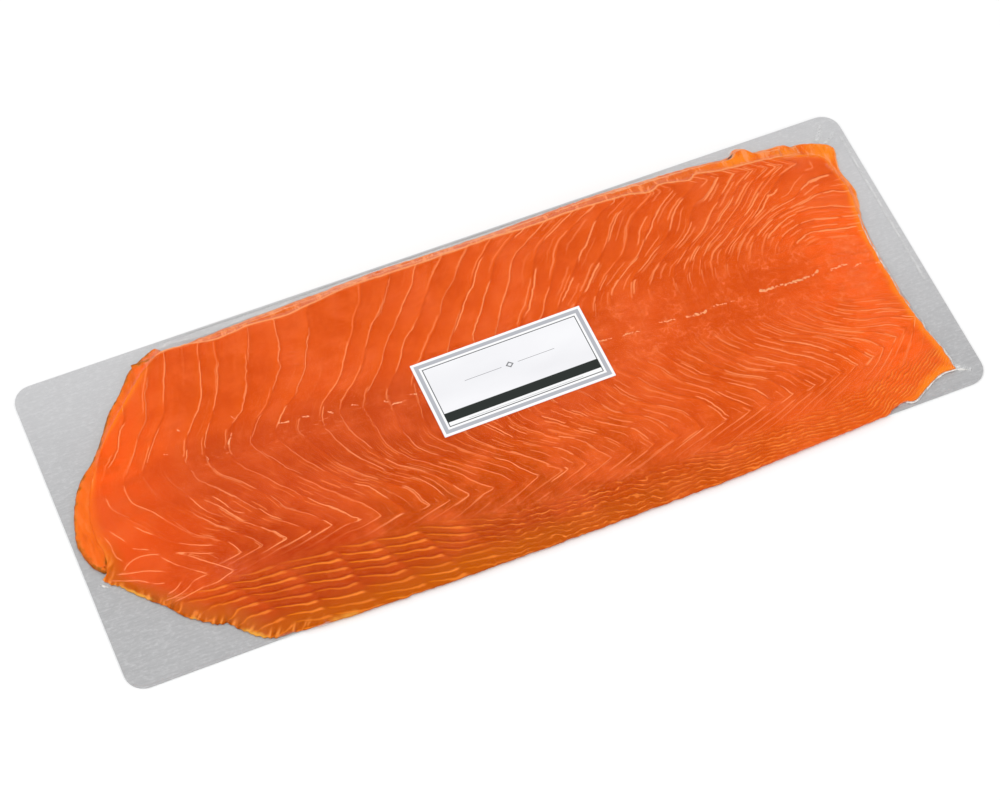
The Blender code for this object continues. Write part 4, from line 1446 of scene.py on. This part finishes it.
def spread(height, points, slope, rounds):
    """Lets each height reach its neighbours, lowered by the slope times the distance."""
    step_x = np.linalg.norm(np.diff(points, axis=0), axis=-1)
    step_x = np.vstack([step_x[:1], step_x])
    step_y = np.linalg.norm(points[0, 1] - points[0, 0])
    for _ in range(rounds):
        for axis, distance in ((0, step_x), (1, step_y)):
            for way in (1, -1):
                moved = np.roll(height, way, axis)
                edge = [slice(None), slice(None)]
                edge[axis] = 0 if way == 1 else -1
                moved[tuple(edge)] = CARD_TOP
                height = np.maximum(height, moved - slope * distance)
    return height


film_grid = film_points()
bare = film_heights(film_grid)
tented = spread(bare, film_grid, FILM_SLOPE, TENT_ROUNDS)
soft = tented.copy()
around = tented[2:, 1:-1] + tented[:-2, 1:-1] + tented[1:-1, 2:] + tented[1:-1, :-2]
soft[1:-1, 1:-1] = (4 * tented[1:-1, 1:-1] + around) / 8
on_card = bare < LOW_PLACES
gx, gy = film_grid[..., 0] / MM, film_grid[..., 1] / MM

# creased: where it hangs free at the right, along the back, and on each ridge
crease = smoothstep((tented - bare) / (1.5 * MM)) * 0.18 * on_card * (gx > 400)
rise = np.zeros_like(bare)
beside = smoothstep(((tented - bare) / MM - 1.2) / 0.9) * on_card * smoothstep((gx - 455) / 20)
crease = np.maximum(crease, 0.5 * beside)
back_fold = smoothstep((gx - 85) / 40) * smoothstep((450 - gx) / 60) * smoothstep((gy - 207) / 6)
crease = np.maximum(crease, 0.75 * back_fold * on_card)
for (ax, ay), (bx, by), tall, wide in CREASES:
    run_x, run_y = bx - ax, by - ay
    share = np.clip(((gx - ax) * run_x + (gy - ay) * run_y) / (run_x**2 + run_y**2), 0, 1)
    away = np.hypot(gx - ax - share * run_x, gy - ay - share * run_y)
    rise += tall * MM * np.exp(-((away / wide) ** 2))
    crease = np.maximum(crease, 1.3 * np.exp(-((away / wide) ** 2)))
crease = crease * (0.12 + 0.88 * on_card)

# its top: smoothed, but never below the tents, with the ridges and slight wrinkles
wrinkle = 0.10 * MM * wander(film_grid[..., 0], film_grid[..., 1], 9 * MM, 71) * on_card
film_top = np.maximum(tented, soft) + FILM_CLEAR + rise + np.maximum(wrinkle, 0)
film = closed_sheet("clear_film_skin", film_grid, film_top - FILM_THICK, film_top, 1)
hang(film.data, "crease", crease)


def film_finish():
    """Nearly all clear, with a weak mirror sheen that is stronger where the film is creased."""
    clear = Finish("clear film", Metallic=1.0)
    fine = clear.noise(clear.coordinates(), 160.0, 2.0)
    folded = clear.attribute("crease")
    gloss = clear.finish(Base_Color=(1, 1, 1), Roughness=0.10 + folded * 0.15)
    nodes, links = clear.tree.nodes, clear.tree.links
    clear_through = nodes.new("ShaderNodeBsdfTransparent")
    blend = nodes.new("ShaderNodeMixShader")
    fresnel = clear.node("ShaderNodeFresnel", {}, {"IOR": 1.14})
    share = (fresnel * 0.6).smaller(0.05) + folded * (0.35 + fine.above(0.3, 0.7) * 0.35)
    links.new(share.socket, blend.inputs[0])
    links.new(clear_through.outputs[0], blend.inputs[1])
    links.new(clear.shader.outputs[0], blend.inputs[2])
    links.new(blend.outputs[0], nodes["Material Output"].inputs[0])
    return gloss


FOLD_START, FOLD_NEAR = 505 * MM, 2 * MM
FOLD_ROWS = 128
# Free folds: points along them, then a half width at each, in millimetres.
FOLDS = {
    "tip_fold": (((541.5, 15.4), (544.5, 14.4), (548.5, 12.4), (553, 9.9)), (0.7, 1.5, 1.0, 0.3)),
    "left_fold": (((7.0, 73.5), (8.6, 72.0), (10.4, 70.6), (12.5, 69.2)), (0.3, 0.9, 0.7, 0.2)),
}


def film_fold(name, path, floor, out, up, wide):
    """A narrow fold of film along a path: points across it, and their heights above its floor."""
    along = np.gradient(path, axis=0)
    outward = np.stack([along[:, 1], -along[:, 0]], -1) / np.linalg.norm(along, axis=1)[:, None]
    grid = path[:, None] + outward[:, None] * (np.array(out) * MM * wide[:, None])[..., None]
    top = floor[:, None] + np.array(up)[None] * MM
    return closed_sheet(name, grid, top - FILM_THICK, top, 1)


def fold_highlight_finish():
    """Painted highlight on the film's folds: white and half clear."""
    white = Finish("film fold highlight", IOR=1.45, Specular_IOR_Level=0.5)
    cloudy = white.noise(white.coordinates(), 260.0, 2.0)
    return white.finish(
        Base_Color=white.mix(cloudy, srgb(214, 212, 210), srgb(255, 252, 246)),
        Roughness=0.3 + cloudy * 0.2,
        Alpha=0.5 + cloudy.above(0.35, 0.6) * 0.45,
    )


film.data.materials.append(film_finish())
at_corner = (frayed[:, 0, 0] > FOLD_START) & (frayed[:, 0, 1] > FOLD_NEAR)
near = np.flatnonzero(at_corner)
rim = np.vstack([frayed[near, 0], frayed[-1, 1:FOLD_ROWS]])
rim_floor = np.concatenate([underside[near, 0], underside[-1, 1:FOLD_ROWS]])
rim_wide = 1 + 0.5 * wander(rim[:, 0], rim[:, 1], 5 * MM, 81)
folds = [film_fold("edge_fold", rim, rim_floor, (1.1, 0.6, 0.10), (0.20, 0.55, 0.85), rim_wide)]
for name, (path, wide) in FOLDS.items():
    path = np.array(path) * MM
    flat = np.full(len(path), CARD_TOP)
    folds.append(film_fold(name, path, flat, (1, 0, -1), (0.1, 0.7, 0.1), np.array(wide)))
# painted highlight: the folds are drawn white where the film catches the light
fold_painted_highlight = fold_highlight_finish()
for fold in folds:
    fold.data.materials.append(fold_painted_highlight)
for piece in [film] + folds:
    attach(piece, "root")
print("film pieces:", [piece.name for piece in [film] + folds])
print("film height in mm:", (film_top.min() / MM).round(2), "to", (film_top.max() / MM).round(2))
